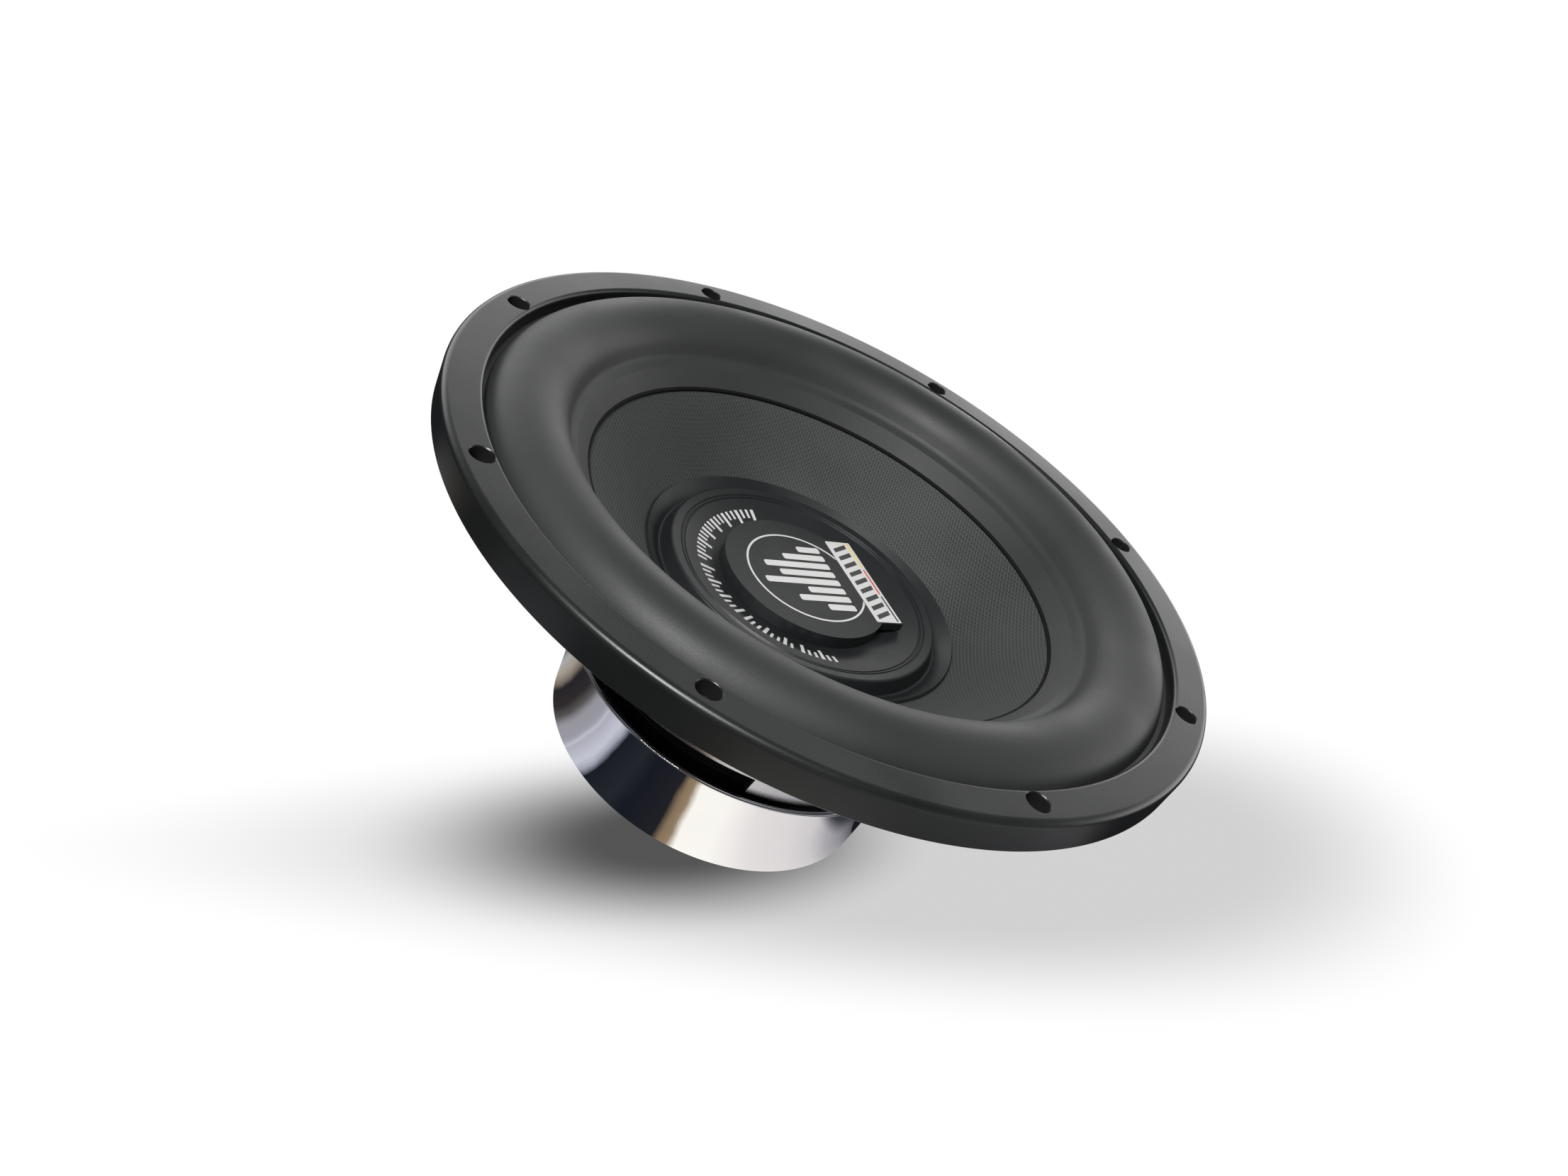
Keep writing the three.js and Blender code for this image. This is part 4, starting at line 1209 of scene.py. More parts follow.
    def mark(self, inner: float, angle: float, half_deg: float, cap: Diaphragm, slope: float) -> Shape:
        """One mark lying on the dish.

        Args:
            inner: its inner radius.
            angle: its middle, in degrees.
            half_deg: half its width, in degrees.
            cap: the diaphragm, for the height of the dish.
            slope: the rise of the dish.
        Returns:
            The mark.
        """
        corners = [(r, math.radians(angle + side)) for r, side in
                   ((inner, -half_deg), (self.scale_outer_r, -half_deg), (self.scale_outer_r, half_deg),
                    (inner, half_deg))]
        outline = [(r * math.cos(a), r * math.sin(a)) for r, a in corners]
        shape = Shape.raised(outline, 0.0, self.ink)
        floor = PLAN.face - cap.floor_drop
        places = shape.places()
        places[:, 2] += floor + (np.linalg.norm(places[:, :2], axis=1) - cap.floor_r) * slope
        return shape.warped(places)

    def build(self, cap: Diaphragm) -> None:
        """Makes and dresses the badge and the print."""
        self.body().dressed(CAP_PLASTIC).riding(Body.CONE, "centre_badge")
        for piece in (self.circle().dressed(WHITE_INK), self.level_bars().dressed(WHITE_INK),
                      self.scale(cap).dressed(WHITE_INK), *self.plate()):
            piece.riding(Body.CONE)


# ------------------------------------------------------------------------- basket


@dataclass
class Basket:
    """The stamped basket on four arms, and the screws that hold it on the top plate."""

    bore_r: float = 38.0 * MM
    seat_outer_r: float = 68.5 * MM
    seat_rim_r: float = 58.0 * MM
    flange_inset: float = 19.5 * MM
    flange_lip: float = 5.0 * MM
    window_margin: float = 4.0 * MM
    window_gap: float = 0.5 * MM
    window_reach: float = 12.0 * MM
    window_corner: float = 6.0 * MM
    hole_r: float = 3.6 * MM
    rib_depth: float = 1.5 * MM
    rib_width: float = 5.0 * MM
    rib_offset: float = 11.0 * MM
    rib_clear: float = 3.0 * MM
    rib_fade: float = 9.0 * MM
    screw_count: int = 6
    screw_circle_r: float = 48.0 * MM
    screw_hole_r: float = 2.35 * MM

    def path(self) -> Outline:
        """The basket's inner face, from the seat out to the flange's lip."""
        low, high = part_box("basket")
        sheet_wall = PLAN.basket_sheet
        seat, top, outer = low.z + sheet_wall, high.z, high.x
        path = [
            (self.bore_r, seat), (self.seat_outer_r, seat), (PLAN.shelf_inner_r, PLAN.shelf_z),
            (PLAN.shelf_outer_r, PLAN.shelf_z), PLAN.wall_top, (PLAN.outer_r - self.flange_inset, top),
            (outer, top), (outer, top - self.flange_lip),
        ]
        radii = {1: 2.0 * MM, 2: 2.2 * MM, 3: 3.5 * MM, 4: 5.0 * MM, 5: 2.5 * MM, 6: 2.2 * MM}
        return self.refined(rounded(path, radii, 5))

    def refined(self, path: Outline, step: float = 2.5 * MM) -> Outline:
        """A path with no stretch longer than a step."""
        made: Outline = [path[0]]
        for first, last in zip(path, path[1:]):
            count = max(1, math.ceil((Vector(last) - Vector(first)).length / step))
            made += [tuple(Vector(first).lerp(Vector(last), (i + 1) / count)) for i in range(count)]
        return made

    def ribbed(self, shape: Shape, terminal_deg: float) -> Shape:
        """Presses two ribs out along the slanted wall of each arm but the terminals' own."""
        places = shape.places()
        radius = np.linalg.norm(places[:, :2], axis=1)
        angle = np.degrees(np.arctan2(places[:, 1], places[:, 0]))
        (top_r, top_z), low_r = PLAN.wall_top, PLAN.shelf_outer_r
        slope = math.atan2(top_z - PLAN.shelf_z, top_r - low_r)
        foot = smooth_step(radius, low_r + self.rib_clear, low_r + self.rib_fade)
        along = foot * (1 - smooth_step(radius, top_r - self.rib_fade, top_r - self.rib_clear))
        push = np.zeros(len(places))
        for i in range(PLAN.arm_count):
            middle = PLAN.arm_turn_deg + 360.0 * i / PLAN.arm_count
            if abs(middle - terminal_deg) < 1.0:
                continue
            off = (angle - middle + 180.0) % 360.0 - 180.0
            across = np.radians(off) * radius
            near = np.abs(off) < PLAN.arm_width_deg / 2
            for side in (-1, 1):
                apart = np.abs(across - side * self.rib_offset)
                rib = 1 - smooth_step(apart, self.rib_width * 0.25, self.rib_width)
                push += near * rib * along * self.rib_depth
        outwards = places[:, :2] / np.maximum(radius, ON_AXIS)[:, None]
        places[:, :2] += outwards * (push * math.sin(slope))[:, None]
        places[:, 2] -= push * math.cos(slope)
        return shape.warped(places)

    def window(self, inner: float, outer: float, middle: float, low: float, high: float) -> Shape:
        """A cutter for a window with round corners, as a sector in plan.

        Args:
            inner: its inner radius.
            outer: its outer radius.
            middle: its middle angle, in degrees.
            low: the height of the cutter's underside.
            high: the height of its top.
        Returns:
            The cutter.
        """
        width = math.radians(360.0 / PLAN.arm_count - PLAN.arm_width_deg)
        mean = (inner + outer) / 2
        flat = plate_outline(outer - inner, width * mean, self.window_corner, 6)
        fine = self.refined([*flat, flat[0]], 3.0 * MM)[:-1]
        turn = math.radians(middle)
        polar = [(mean + x, turn + y / mean) for x, y in fine]
        return Shape.raised([(r * math.cos(a), r * math.sin(a)) for r, a in polar], low, high)

    def windows(self) -> Shape:
        """Cutters for the upper and lower windows between the arms."""
        margin, low = self.window_margin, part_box("basket")[0].z - PAST
        (top_r, _), split = PLAN.wall_top, PLAN.shelf_z - margin
        shapes = []
        for i in range(PLAN.arm_count):
            middle = PLAN.arm_turn_deg + 360.0 * (i + 0.5) / PLAN.arm_count
            shapes.append(self.window(PLAN.shelf_outer_r + margin, top_r - margin, middle,
                                      split + self.window_gap, PLAN.face))
            shapes.append(self.window(self.seat_rim_r, PLAN.shelf_inner_r + self.window_reach, middle,
                                      low, split))
        return Shape.of(shapes)

    def holes(self) -> Shape:
        """Cutters for the bolt holes and the screw holes."""
        low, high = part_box("basket")
        reach = 2 * PLAN.basket_sheet
        bolt = section(0.0, self.hole_r, high.z - reach, high.z + PAST)
        screw = section(0.0, self.screw_hole_r, low.z - PAST, low.z + reach)
        return Shape.of([Shape.turned(bolt, Turn.COARSE).around(PLAN.bolt_count, PLAN.bolt_r),
                         Shape.turned(screw, Turn.COARSE).around(self.screw_count, self.screw_circle_r)])

    def shell(self, terminals: "Terminals") -> Piece:
        """The basket's stamping with its boss, windows, ribs and holes."""
        shape = Shape.turned(sheet(self.path(), PLAN.basket_sheet), Turn.LARGE)
        piece = Piece("basket_stamping", self.ribbed(shape, terminals.arm_deg))
        piece.fused(terminals.boss()).cut(self.windows()).cut(self.holes()).cut(terminals.basket_cuts())
        return piece.eased(0.25 * MM, 1, 55.0)

    def screw(self, index: int) -> Piece:
        """One pan head screw with a cross recess."""
        low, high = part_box(f"seat_screw_{index}")
        centre, head_r = (low + high) / 2, (high.x - low.x) / 2
        shank_r, head_z = 2.0 * MM, high.z - 2.6 * MM
        outline = screw_section(shank_r, head_r, low.z, head_z, high.z)
        body = Shape.turned(rounded(outline, {1: 0.4 * MM, 3: 0.2 * MM, 4: 1.7 * MM}, 6), Turn.SMALL)
        piece = Piece(f"seat_screw_head_{index}", body)
        slot = plate_outline(4.4 * MM, 0.9 * MM, 0.2 * MM, 3)
        for turn in (0.0, 90.0):
            cutter = Shape.raised(slot, high.z - 1.5 * MM, high.z + PAST)
            piece.cut(cutter.turned_by(turn + 17.0 * index))
        piece.object.data.transform(Matrix.Translation((centre.x, centre.y, 0.0)))
        return piece

    def build(self, terminals: "Terminals") -> None:
        """Makes and dresses the basket and its screws."""
        self.shell(terminals).dressed(ZINC).riding(Body.FRAME, "basket")
        for index in range(1, self.screw_count + 1):
            self.screw(index).dressed(SCREW_STEEL).riding(Body.FRAME, f"seat_screw_{index}")


# ------------------------------------------------------------------------- motor


@dataclass
class Motor:
    """The polished cover and the magnet assembly inside it."""

    sheet_wall: float = 1.2 * MM
    base_r: float = 68.6 * MM
    corner: float = 3.0 * MM
    bead: float = 1.1 * MM
    vent_r: float = 12.0 * MM
    grille_hole_r: float = 2.1 * MM
    grille_circle_r: float = 6.6 * MM
    pole_r: float = 25.0 * MM
    pole_vent_r: float = 8.0 * MM
    gap_r: float = 28.9 * MM
    magnet_bore_r: float = 33.0 * MM
    plate_thickness: float = 8.0 * MM
    magnet_edge: float = 0.8 * MM
    plate_edge: float = 0.6 * MM

    def cover(self) -> Piece:
        """The deep-drawn cup with its rolled rim."""
        _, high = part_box("magnet_cover")
        rim_r, rim_z = high.x, high.z
        bead = arc((rim_r - self.bead, rim_z - self.bead), self.bead, -80.0, 150.0, 14)
        outer = [(self.vent_r, 0.0), (self.base_r, 0.0), (rim_r - self.bead, rim_z - 2.2 * self.bead)]
        inner = [(rim_r - self.bead - self.sheet_wall, rim_z - 2.0 * self.bead),
                 (self.base_r - self.sheet_wall, self.sheet_wall), (self.vent_r, self.sheet_wall)]
        outline = rounded([*outer, *bead, *inner], {0: 0.3 * MM, 1: self.corner}, 10)
        return Piece("magnet_cover_cup", Shape.turned(outline, Turn.LARGE))

    def grille(self) -> Piece:
        """The vent's grille."""
        low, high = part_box("vent_grille")
        outline = rounded(section(0.0, high.x, low.z, high.z), {1: 0.4 * MM})
        hole = Shape.turned(section(0.0, self.grille_hole_r, -PAST, 3 * MM), Turn.COARSE)
        holes = Shape.of([hole, hole.around(6, self.grille_circle_r)])
        disc = Piece("vent_grille_disc", Shape.turned(outline, Turn.MEDIUM))
        return disc.cut(holes).eased(0.2 * MM, 2, 50.0)

    def back_plate(self) -> Piece:
        """The back plate and the pole, turned from one piece."""
        low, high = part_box("back_plate_and_pole")
        plate_top, outer = low.z + self.plate_thickness, high.x
        outline = [
            (self.pole_vent_r, low.z), (outer, low.z), (outer, plate_top), (self.pole_r, plate_top),
            (self.pole_r, high.z), (self.pole_vent_r, high.z),
        ]
        radii = {0: MM, 1: MM, 2: 0.5 * MM, 3: MM, 4: MM, 5: 2.0 * MM}
        return Piece("back_plate_turning", Shape.turned(rounded(outline, radii)))

    def build(self) -> None:
        """Makes and dresses the motor."""
        self.cover().dressed(CHROME).riding(Body.FRAME, "magnet_cover")
        self.grille().dressed(BLACK_PLASTIC).riding(Body.FRAME, "vent_grille")
        self.back_plate().dressed(BLACK_STEEL).riding(Body.FRAME, "back_plate_and_pole")
        magnet = plain_ring("magnet_ferrite", "magnet_ring", self.magnet_bore_r, self.magnet_edge)
        magnet.dressed(FERRITE).riding(Body.FRAME, "magnet_ring")
        plate = plain_ring("top_plate_turning", "top_plate", self.gap_r, self.plate_edge)
        plate.dressed(BLACK_STEEL).riding(Body.FRAME, "top_plate")
        pad = frame["nodes"]["cover_pad"]
        pad.data.materials.clear()
        pad.data.materials.append(FOAM.material())


@dataclass
class VoiceCoil:
    """The former with its winding and collar, and the spider that centres it."""

    ripples: int = 5
    ripple: float = 1.7 * MM
    spider_wall: float = 0.7 * MM
    spider_neck: float = 3.4 * MM
    spider_start: float = 4.0 * MM
    spider_inset: float = 2.5 * MM
    spider_steps: int = 90
    land: float = 7.0 * MM
    bands: tuple[tuple[str, float, float, Finish], ...] = (
        ("coil_former", 0.5 * MM, 0.1 * MM, AMBER_FILM),
        ("coil_winding", 1.6 * MM, 0.4 * MM, COPPER_WIRE),
        ("former_collar", 0.6 * MM, 0.1 * MM, AMBER_FILM),
    )  # node, thickness, radius of the edges, finish

    def spider(self) -> Piece:
        """The corrugated spider, with a neck on the former and a flat land on the shelf."""
        land_top = PLAN.shelf_z + GLUE_GAP + self.spider_wall
        inner, outer = PLAN.neck_r + self.spider_start, PLAN.shelf_inner_r - self.spider_inset
        waves = []
        for i in range(self.spider_steps + 1):
            share = i / self.spider_steps
            fade = min(1.0, 6 * share, 6 * (1 - share))
            height = self.ripple * fade * math.sin(2 * math.pi * self.ripples * share)
            waves.append((inner + (outer - inner) * share, land_top + height))
        path = [(PLAN.neck_r, land_top - self.spider_neck), (PLAN.neck_r, land_top), *waves,
                (PLAN.shelf_inner_r + self.land, land_top)]
        path = rounded(path, {1: 1.5 * MM}, 4)
        return Piece("spider_disc", Shape.turned(sheet(path, self.spider_wall), Turn.MEDIUM))

    def build(self) -> None:
        """Makes and dresses the coil and the spider."""
        for node, wall, edge, finish in self.bands:
            band = plain_ring(f"{node}_band", node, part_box(node)[1].x - wall, edge, 3)
            band.dressed(finish).riding(Body.CONE, node)
        spider = self.spider().dressed(SPIDER_CLOTH)
        radius = np.linalg.norm(spider.places()[:, :2], axis=1)
        shares = 1.0 - smooth_step(radius, PLAN.neck_r + 2.0 * MM, PLAN.shelf_inner_r - 2.0 * MM)
        spider.bending(Body.FRAME, Body.CONE, shares, "spider")


# ------------------------------------------------------------------------- terminals


@dataclass
class Terminals:
    """The terminal block on one arm, with its sprung posts, contacts, screws and leads."""

    block_length: float = 54.0 * MM
    block_width: float = 24.0 * MM
    block_base: float = 4.0 * MM
    corner: float = 4.0 * MM
    spacing: float = 22.0 * MM
    base_low: float = 0.9 * MM
    socket_r: float = 8.4 * MM
    socket_height: float = 12.0 * MM
    bore_r: float = 6.2 * MM
    socket_floor: float = 1.6 * MM
    wire_hole_r: float = 1.7 * MM
    stem_r: float = 5.8 * MM
    stem_depth: float = 4.0 * MM
    button_r: float = 7.6 * MM
    button_height: float = 4.5 * MM
    travel: float = 4.0 * MM
    stop: float = 0.6 * MM
    spring_r: float = 4.0 * MM
    spring_wire_r: float = 0.5 * MM
    spring_turns: int = 5
    contact_width: float = 5.0 * MM
    contact_sheet: float = 1.0 * MM
    contact_tail: float = 9.0 * MM
    screw_inset: float = 3.9 * MM
    screw_r: float = 1.5 * MM
    screw_clear: float = 0.35 * MM
    head_r: float = 2.9 * MM
    head_height: float = 1.8 * MM
    lead_r: float = 0.9 * MM
    lead_spread: float = 7.0 * MM
    lead_start_gap: float = 0.4 * MM
    lead_straight: float = 4.0 * MM
    lead_sag: float = 4.0 * MM
    lead_end_clear: float = 1.6 * MM
    lead_end_drop: float = 1.2 * MM
    neck_drop: float = 60.0 * MM
    strands: int = 4
    strand_pitch: float = 6.0 * MM
    strand_r: float = 0.24 * MM

    def __post_init__(self) -> None:
        """Finds the block's own frame: x across its arm, y up the arm and z out of it."""
        press = next(j for j in frame["joints"] if j["name"] == "positive_push")["axis"]
        normal = -Vector(press).normalized()
        turn = math.atan2(normal.y, normal.x)
        self.arm_deg = math.degrees(turn)
        out = Vector((math.cos(turn), math.sin(turn), 0.0))
        across = Vector((-math.sin(turn), math.cos(turn), 0.0))
        up_arm = normal.cross(across)
        (top_r, top_z), low_r = PLAN.wall_top, PLAN.shelf_outer_r
        middle = out * ((top_r + low_r) / 2) + Vector((0.0, 0.0, (top_z + PLAN.shelf_z) / 2))
        origin = middle + normal * PLAN.basket_sheet
        self.frame = Matrix((across, up_arm, normal)).transposed().to_4x4()
        self.frame.translation = origin
        self.socket_top = self.base_low + self.socket_height
        self.base_top = self.base_low + self.block_base
        self.floor = self.base_low + self.socket_floor
        self.screw_x = self.block_length / 2 - self.screw_inset
        self.bore = self.screw_r + self.screw_clear

    def post_x(self, side: int) -> float:
        """The place of a post across the block."""
        return side * self.spacing / 2

    def rod(self, radius: float, low: float, high: float, x: float, turn: Turn = Turn.SMALL) -> Shape:
        """A round bar out of the block, at a place across it."""
        return Shape.turned(section(0.0, radius, low, high), turn).at(x)

    def boss(self) -> Shape:
        """The flat boss in the basket under the block."""
        outline = plate_outline(self.block_length + 3 * MM, self.block_width + 3 * MM, self.corner)
        return Shape.raised(outline, -2.4 * MM, 0.6 * MM).moved(self.frame)

    def basket_cuts(self) -> Shape:
        """Cutters for the slots and screw holes through the basket."""
        slots = [Shape.raised(plate_outline(8 * MM, 4 * MM, 1.5 * MM), -6 * MM, 2 * MM).at(self.post_x(side))
                 for side in (-1, 1)]
        holes = [self.rod(self.bore, -6 * MM, 2 * MM, side * self.screw_x, Turn.COARSE) for side in (-1, 1)]
        return Shape.of([*slots, *holes]).moved(self.frame)

    def block(self) -> Piece:
        """The moulded block: a base with two round sockets."""
        outline = plate_outline(self.block_length, self.block_width, self.corner)
        piece = Piece("terminal_block_moulding", Shape.raised(outline, self.base_low, self.base_top))
        for side in (-1, 1):
            piece.fused(self.rod(self.socket_r, self.base_low + 0.2 * MM, self.socket_top, self.post_x(side)))
        for side in (-1, 1):
            x = self.post_x(side)
            piece.cut(self.rod(self.bore_r, self.floor, self.socket_top + PAST, x))
            wire = self.rod(self.wire_hole_r, -self.socket_r - PAST, self.socket_r + PAST, 0.0, Turn.COARSE)
            piece.cut(wire.turned_by(90.0, "X").at(x, 0.0, (self.base_top + self.socket_top) / 2))
            tab = plate_outline(self.contact_width + 0.6 * MM, 1.8 * MM, 0.3 * MM)
            piece.cut(Shape.raised(tab, 0.0, self.base_top).at(x))
            piece.cut(self.rod(self.bore, 0.0, self.base_top + PAST, side * self.screw_x, Turn.COARSE))
        piece.eased(0.4 * MM, 3, 50.0)
        piece.object.data.transform(self.frame)
        return piece

    def button(self, name: str, side: int) -> Piece:
        """A push post: a fluted cap with a finger dish, on a plain stem."""
        low = self.socket_top + self.travel + self.stop
        high = low + self.button_height
        outline = [
            (0.0, self.socket_top - self.stem_depth), (self.stem_r, self.socket_top - self.stem_depth),
            (self.stem_r, low), (self.button_r, low), (self.button_r, high), (self.button_r - 1.6 * MM, high),
            (0.0, high - 0.7 * MM),
        ]
        radii = {1: 0.4 * MM, 3: 0.4 * MM, 4: 0.7 * MM, 5: 0.8 * MM}
        shape = Shape.turned(rounded(outline, radii, 5), Turn.MEDIUM)
        places = shape.places()
        radius = np.linalg.norm(places[:, :2], axis=1)
        angle = np.arctan2(places[:, 1], places[:, 0])
        inside = (radius > self.button_r - 0.8 * MM) & (places[:, 2] > low - 0.1 * MM)
        flute = 0.25 * MM * (0.5 + 0.5 * np.cos(16 * angle)) * inside
        places[:, :2] *= (1 - flute / np.maximum(radius, ON_AXIS))[:, None]
        piece = Piece(name, shape.warped(places).at(self.post_x(side)))
        piece.object.data.transform(self.frame)
        return piece

    def spring(self, name: str, side: int) -> Piece:
        """The coil spring under a post."""
        low = self.floor + self.spring_wire_r + GLUE_GAP
        high = self.socket_top - self.stem_depth - self.spring_wire_r - GLUE_GAP
        steps = self.spring_turns * 24
        route = []
        for i in range(steps + 1):
            angle = 2 * math.pi * i / 24
            route.append(Vector((self.spring_r * math.cos(angle), self.spring_r * math.sin(angle),
                                 low + (high - low) * i / steps)))
        piece = Piece(name, Shape.tube(route, self.spring_wire_r, 10).at(self.post_x(side)))
        piece.object.data.transform(self.frame)
        return piece

    def spring_shares(self, piece: Piece) -> np.ndarray:
        """How far each point of a spring follows its post."""
        heights = np.array([(self.frame.inverted() @ Vector(p)).z for p in piece.places()])
        return np.clip((heights - heights.min()) / (heights.max() - heights.min()), 0.0, 1.0)

    def contact(self, name: str, side: int) -> Piece:
        """The brass strip between a socket and its lead, with a round solder tail."""
        low, high = -PLAN.basket_sheet - self.contact_tail, self.floor + MM
        outline = [(x, y + (low + high) / 2) for x, y in
                   plate_outline(self.contact_width, high - low, 1.2 * MM)]
        strip = Shape.raised(outline, -self.contact_sheet / 2, self.contact_sheet / 2).turned_by(90.0, "X")
        piece = Piece(name, strip.at(self.post_x(side)))
        hole = self.rod(0.9 * MM, -2 * MM, 2 * MM, 0.0, Turn.COARSE).turned_by(90.0, "X")
        piece.cut(hole.at(self.post_x(side), 0.0, low + 2.4 * MM)).eased(0.12 * MM, 2, 50.0)
        piece.object.data.transform(self.frame)
        return piece

    def screw(self, name: str, side: int) -> Piece:
        """A small pan head screw through the block."""
        head_low = self.base_top + GLUE_GAP
        head_high = head_low + self.head_height
        outline = screw_section(self.screw_r, self.head_r, -2 * PLAN.basket_sheet, head_low, head_high)
        piece = Piece(name, Shape.turned(rounded(outline, {1: 0.3 * MM, 4: 1.2 * MM}, 6), Turn.SMALL))
        for turn in (20.0, 110.0):
            slot = plate_outline(3.2 * MM, 0.7 * MM, 0.15 * MM, 3)
            piece.cut(Shape.raised(slot, head_high - MM, head_high + PAST).turned_by(turn * side))
        shift = Matrix.Translation((side * self.screw_x, 0.0, 0.0))
        piece.object.data.transform(self.frame @ shift)
        return piece

    def lead_route(self, side: int) -> list[Vector]:
        """A lead's middle line, from its contact's tail to the cone's neck."""
        start = -PLAN.basket_sheet - self.contact_tail - self.lead_start_gap
        tab = self.frame @ Vector((self.post_x(side), 0.0, start))
        straight = self.frame @ Vector((self.post_x(side), 0.0, start - self.lead_straight))
        end_r = PLAN.neck_r + PLAN.cone_wall + self.lead_r + self.lead_end_clear
        end_z = PLAN.face - self.neck_drop - self.lead_end_drop
        arm = Matrix.Rotation(math.radians(self.arm_deg), 4, "Z")
        end = arm @ Vector((end_r, side * self.lead_spread, end_z))
        sag = Vector((0.0, 0.0, -self.lead_sag))
        knots = [tab, straight, straight.lerp(end, 0.33) + sag, straight.lerp(end, 0.7) + sag, end]
        return smooth_route(knots, 120)

    def lead(self, name: str, side: int) -> Piece:
        """A braided lead: two sets of strands wound against each other round a core."""
        route = self.lead_route(side)
        shapes = [Shape.tube(route, self.lead_r * 0.62, 10)]
        for hand in (-1, 1):
            for k in range(self.strands):
                line = self.strand(route, hand, 2 * math.pi * k / self.strands)
                shapes.append(Shape.tube(line, self.strand_r, 6))
        return Piece(name, Shape.of(shapes))

    def strand(self, route: list[Vector], hand: int, phase: float) -> list[Vector]:
        """One strand's middle line, weaving over and under those of the other hand.

        Args:
            route: the lead's middle line.
            hand: 1 or -1, the way it turns.
            phase: where it starts round the lead.
        Returns:
            The points.
        """
        normal = (route[1] - route[0]).orthogonal().normalized()
        length, line = 0.0, []
        for i, point in enumerate(route):
            ahead = (route[min(i + 1, len(route) - 1)] - route[max(i - 1, 0)]).normalized()
            normal = (normal - ahead * normal.dot(ahead)).normalized()
            length += (point - route[i - 1]).length if i else 0.0
            turn = 2 * math.pi * length / self.strand_pitch
            angle = phase + hand * turn
            weave = 0.45 * (1 - hand * math.cos(self.strands * turn))
            reach = self.lead_r - self.strand_r * (1 + weave)
            line.append(point + (normal * math.cos(angle) + ahead.cross(normal) * math.sin(angle)) * reach)
        return line

    def build(self) -> None:
        """Makes and dresses the terminals."""
        self.block().dressed(BLACK_PLASTIC).riding(Body.FRAME, "terminal_block")
        posts = [("negative", -1, BLACK_PLASTIC, Body.NEGATIVE), ("positive", 1, RED_PLASTIC, Body.POSITIVE)]
        for index, (name, side, plastic, body) in enumerate(posts, 1):
            self.button(f"{name}_post_cap", side).dressed(plastic).riding(body, f"{name}_button")
            spring = self.spring(f"{name}_coil_spring", side).dressed(SCREW_STEEL)
            spring.bending(Body.FRAME, body, self.spring_shares(spring), f"{name}_spring")
            self.contact(f"{name}_contact_strip", side).dressed(BRASS).riding(Body.FRAME, f"{name}_contact")
            screw = self.screw(f"block_screw_head_{index}", side).dressed(SCREW_STEEL)
            screw.riding(Body.FRAME, f"block_screw_{index}")
            lead = self.lead(f"{name}_braid", side).dressed(TINSEL)
            start, end = self.lead_route(side)[0], self.lead_route(side)[-1]
            reach = end - start
            share = (lead.places() - np.array(start)) @ np.array(reach) / reach.length_squared
            lead.bending(Body.FRAME, Body.CONE, smooth_step(share, 0.05, 0.95), f"{name}_lead")


def smooth_route(knots: Sequence[Vector], steps: int) -> list[Vector]:
    """Points on a smooth curve through some knots.

    Args:
        knots: the points that it goes through.
        steps: how many stretches to return.
    Returns:
        The points.
    """
    ends = [knots[0] * 2 - knots[1], *knots, knots[-1] * 2 - knots[-2]]
    spans, made = len(knots) - 1, []
    for i in range(steps + 1):
        place = spans * i / steps
        k = min(int(place), spans - 1)
        t, (a, b, c, d) = place - k, ends[k:k + 4]
        curve = 2 * b + (c - a) * t + (2 * a - 5 * b + 4 * c - d) * t**2 + (3 * b - a - 3 * c + d) * t**3
        made.append(0.5 * curve)
    return made


# ------------------------------------------------------------------------- studio


@dataclass(frozen=True)
class Paper(Finish):
    """A glowing sheet of paper under the speaker, with a long soft shade painted on it."""

    middle: tuple[float, float] = (0.0434, -0.0322)
    heading_deg: float = 44.1
    cross_deg: float = 110.6
    half_length: float = 0.35
    half_width: float = 0.078
    taper: float = 0.13
    shade_depth: float = 0.36
    contact_depth: float = 0.55
    shade_shift: float = 0.1035
    contact_shift: tuple[float, float] = (-0.045, 0.003)
    contact_half: tuple[float, float] = (0.125, 0.05)

    def material(self) -> bpy.types.Material:
        """The paper: white, with a wide shade and a darker one round the speaker's foot."""
        graph = Graph(self.name)
        x, y, _ = graph.axes()
        along, cross = math.radians(self.heading_deg), math.radians(self.cross_deg)
        area = math.sin(cross - along)
        east, north = x - self.middle[0], y - self.middle[1]
        u = (east * math.sin(cross) - north * math.cos(cross)) / area
        v = (north * math.cos(along) - east * math.sin(along)) / area
        wide = self.oval((u - self.shade_shift) / self.half_length, v / (u * self.taper + self.half_width))
        (shift_u, shift_v), (half_u, half_v) = self.contact_shift, self.contact_half
        near = self.oval((u - shift_u) / half_u, (v - shift_v) / half_v)
        shade = (1.0 - wide.smooth(0.5, 1.1)) * self.shade_depth
        shade = shade + (1.0 - near.smooth(0.24, 1.05)) * self.contact_depth
        graph.feed(graph.shader.inputs["Base Color"], (0.0, 0.0, 0.0))
        graph.feed(graph.shader.inputs["Specular IOR Level"], 0.0)
        graph.feed(graph.shader.inputs["Emission Color"], graph.mix(shade, self.colour, self.shade))
        graph.feed(graph.shader.inputs["Emission Strength"], 1.0)
        return graph.material

    def oval(self, u: Signal, v: Signal) -> Signal:
        """The distance from an oval's middle, 1 on its edge."""
        return (u * u + v * v).math("SQRT")


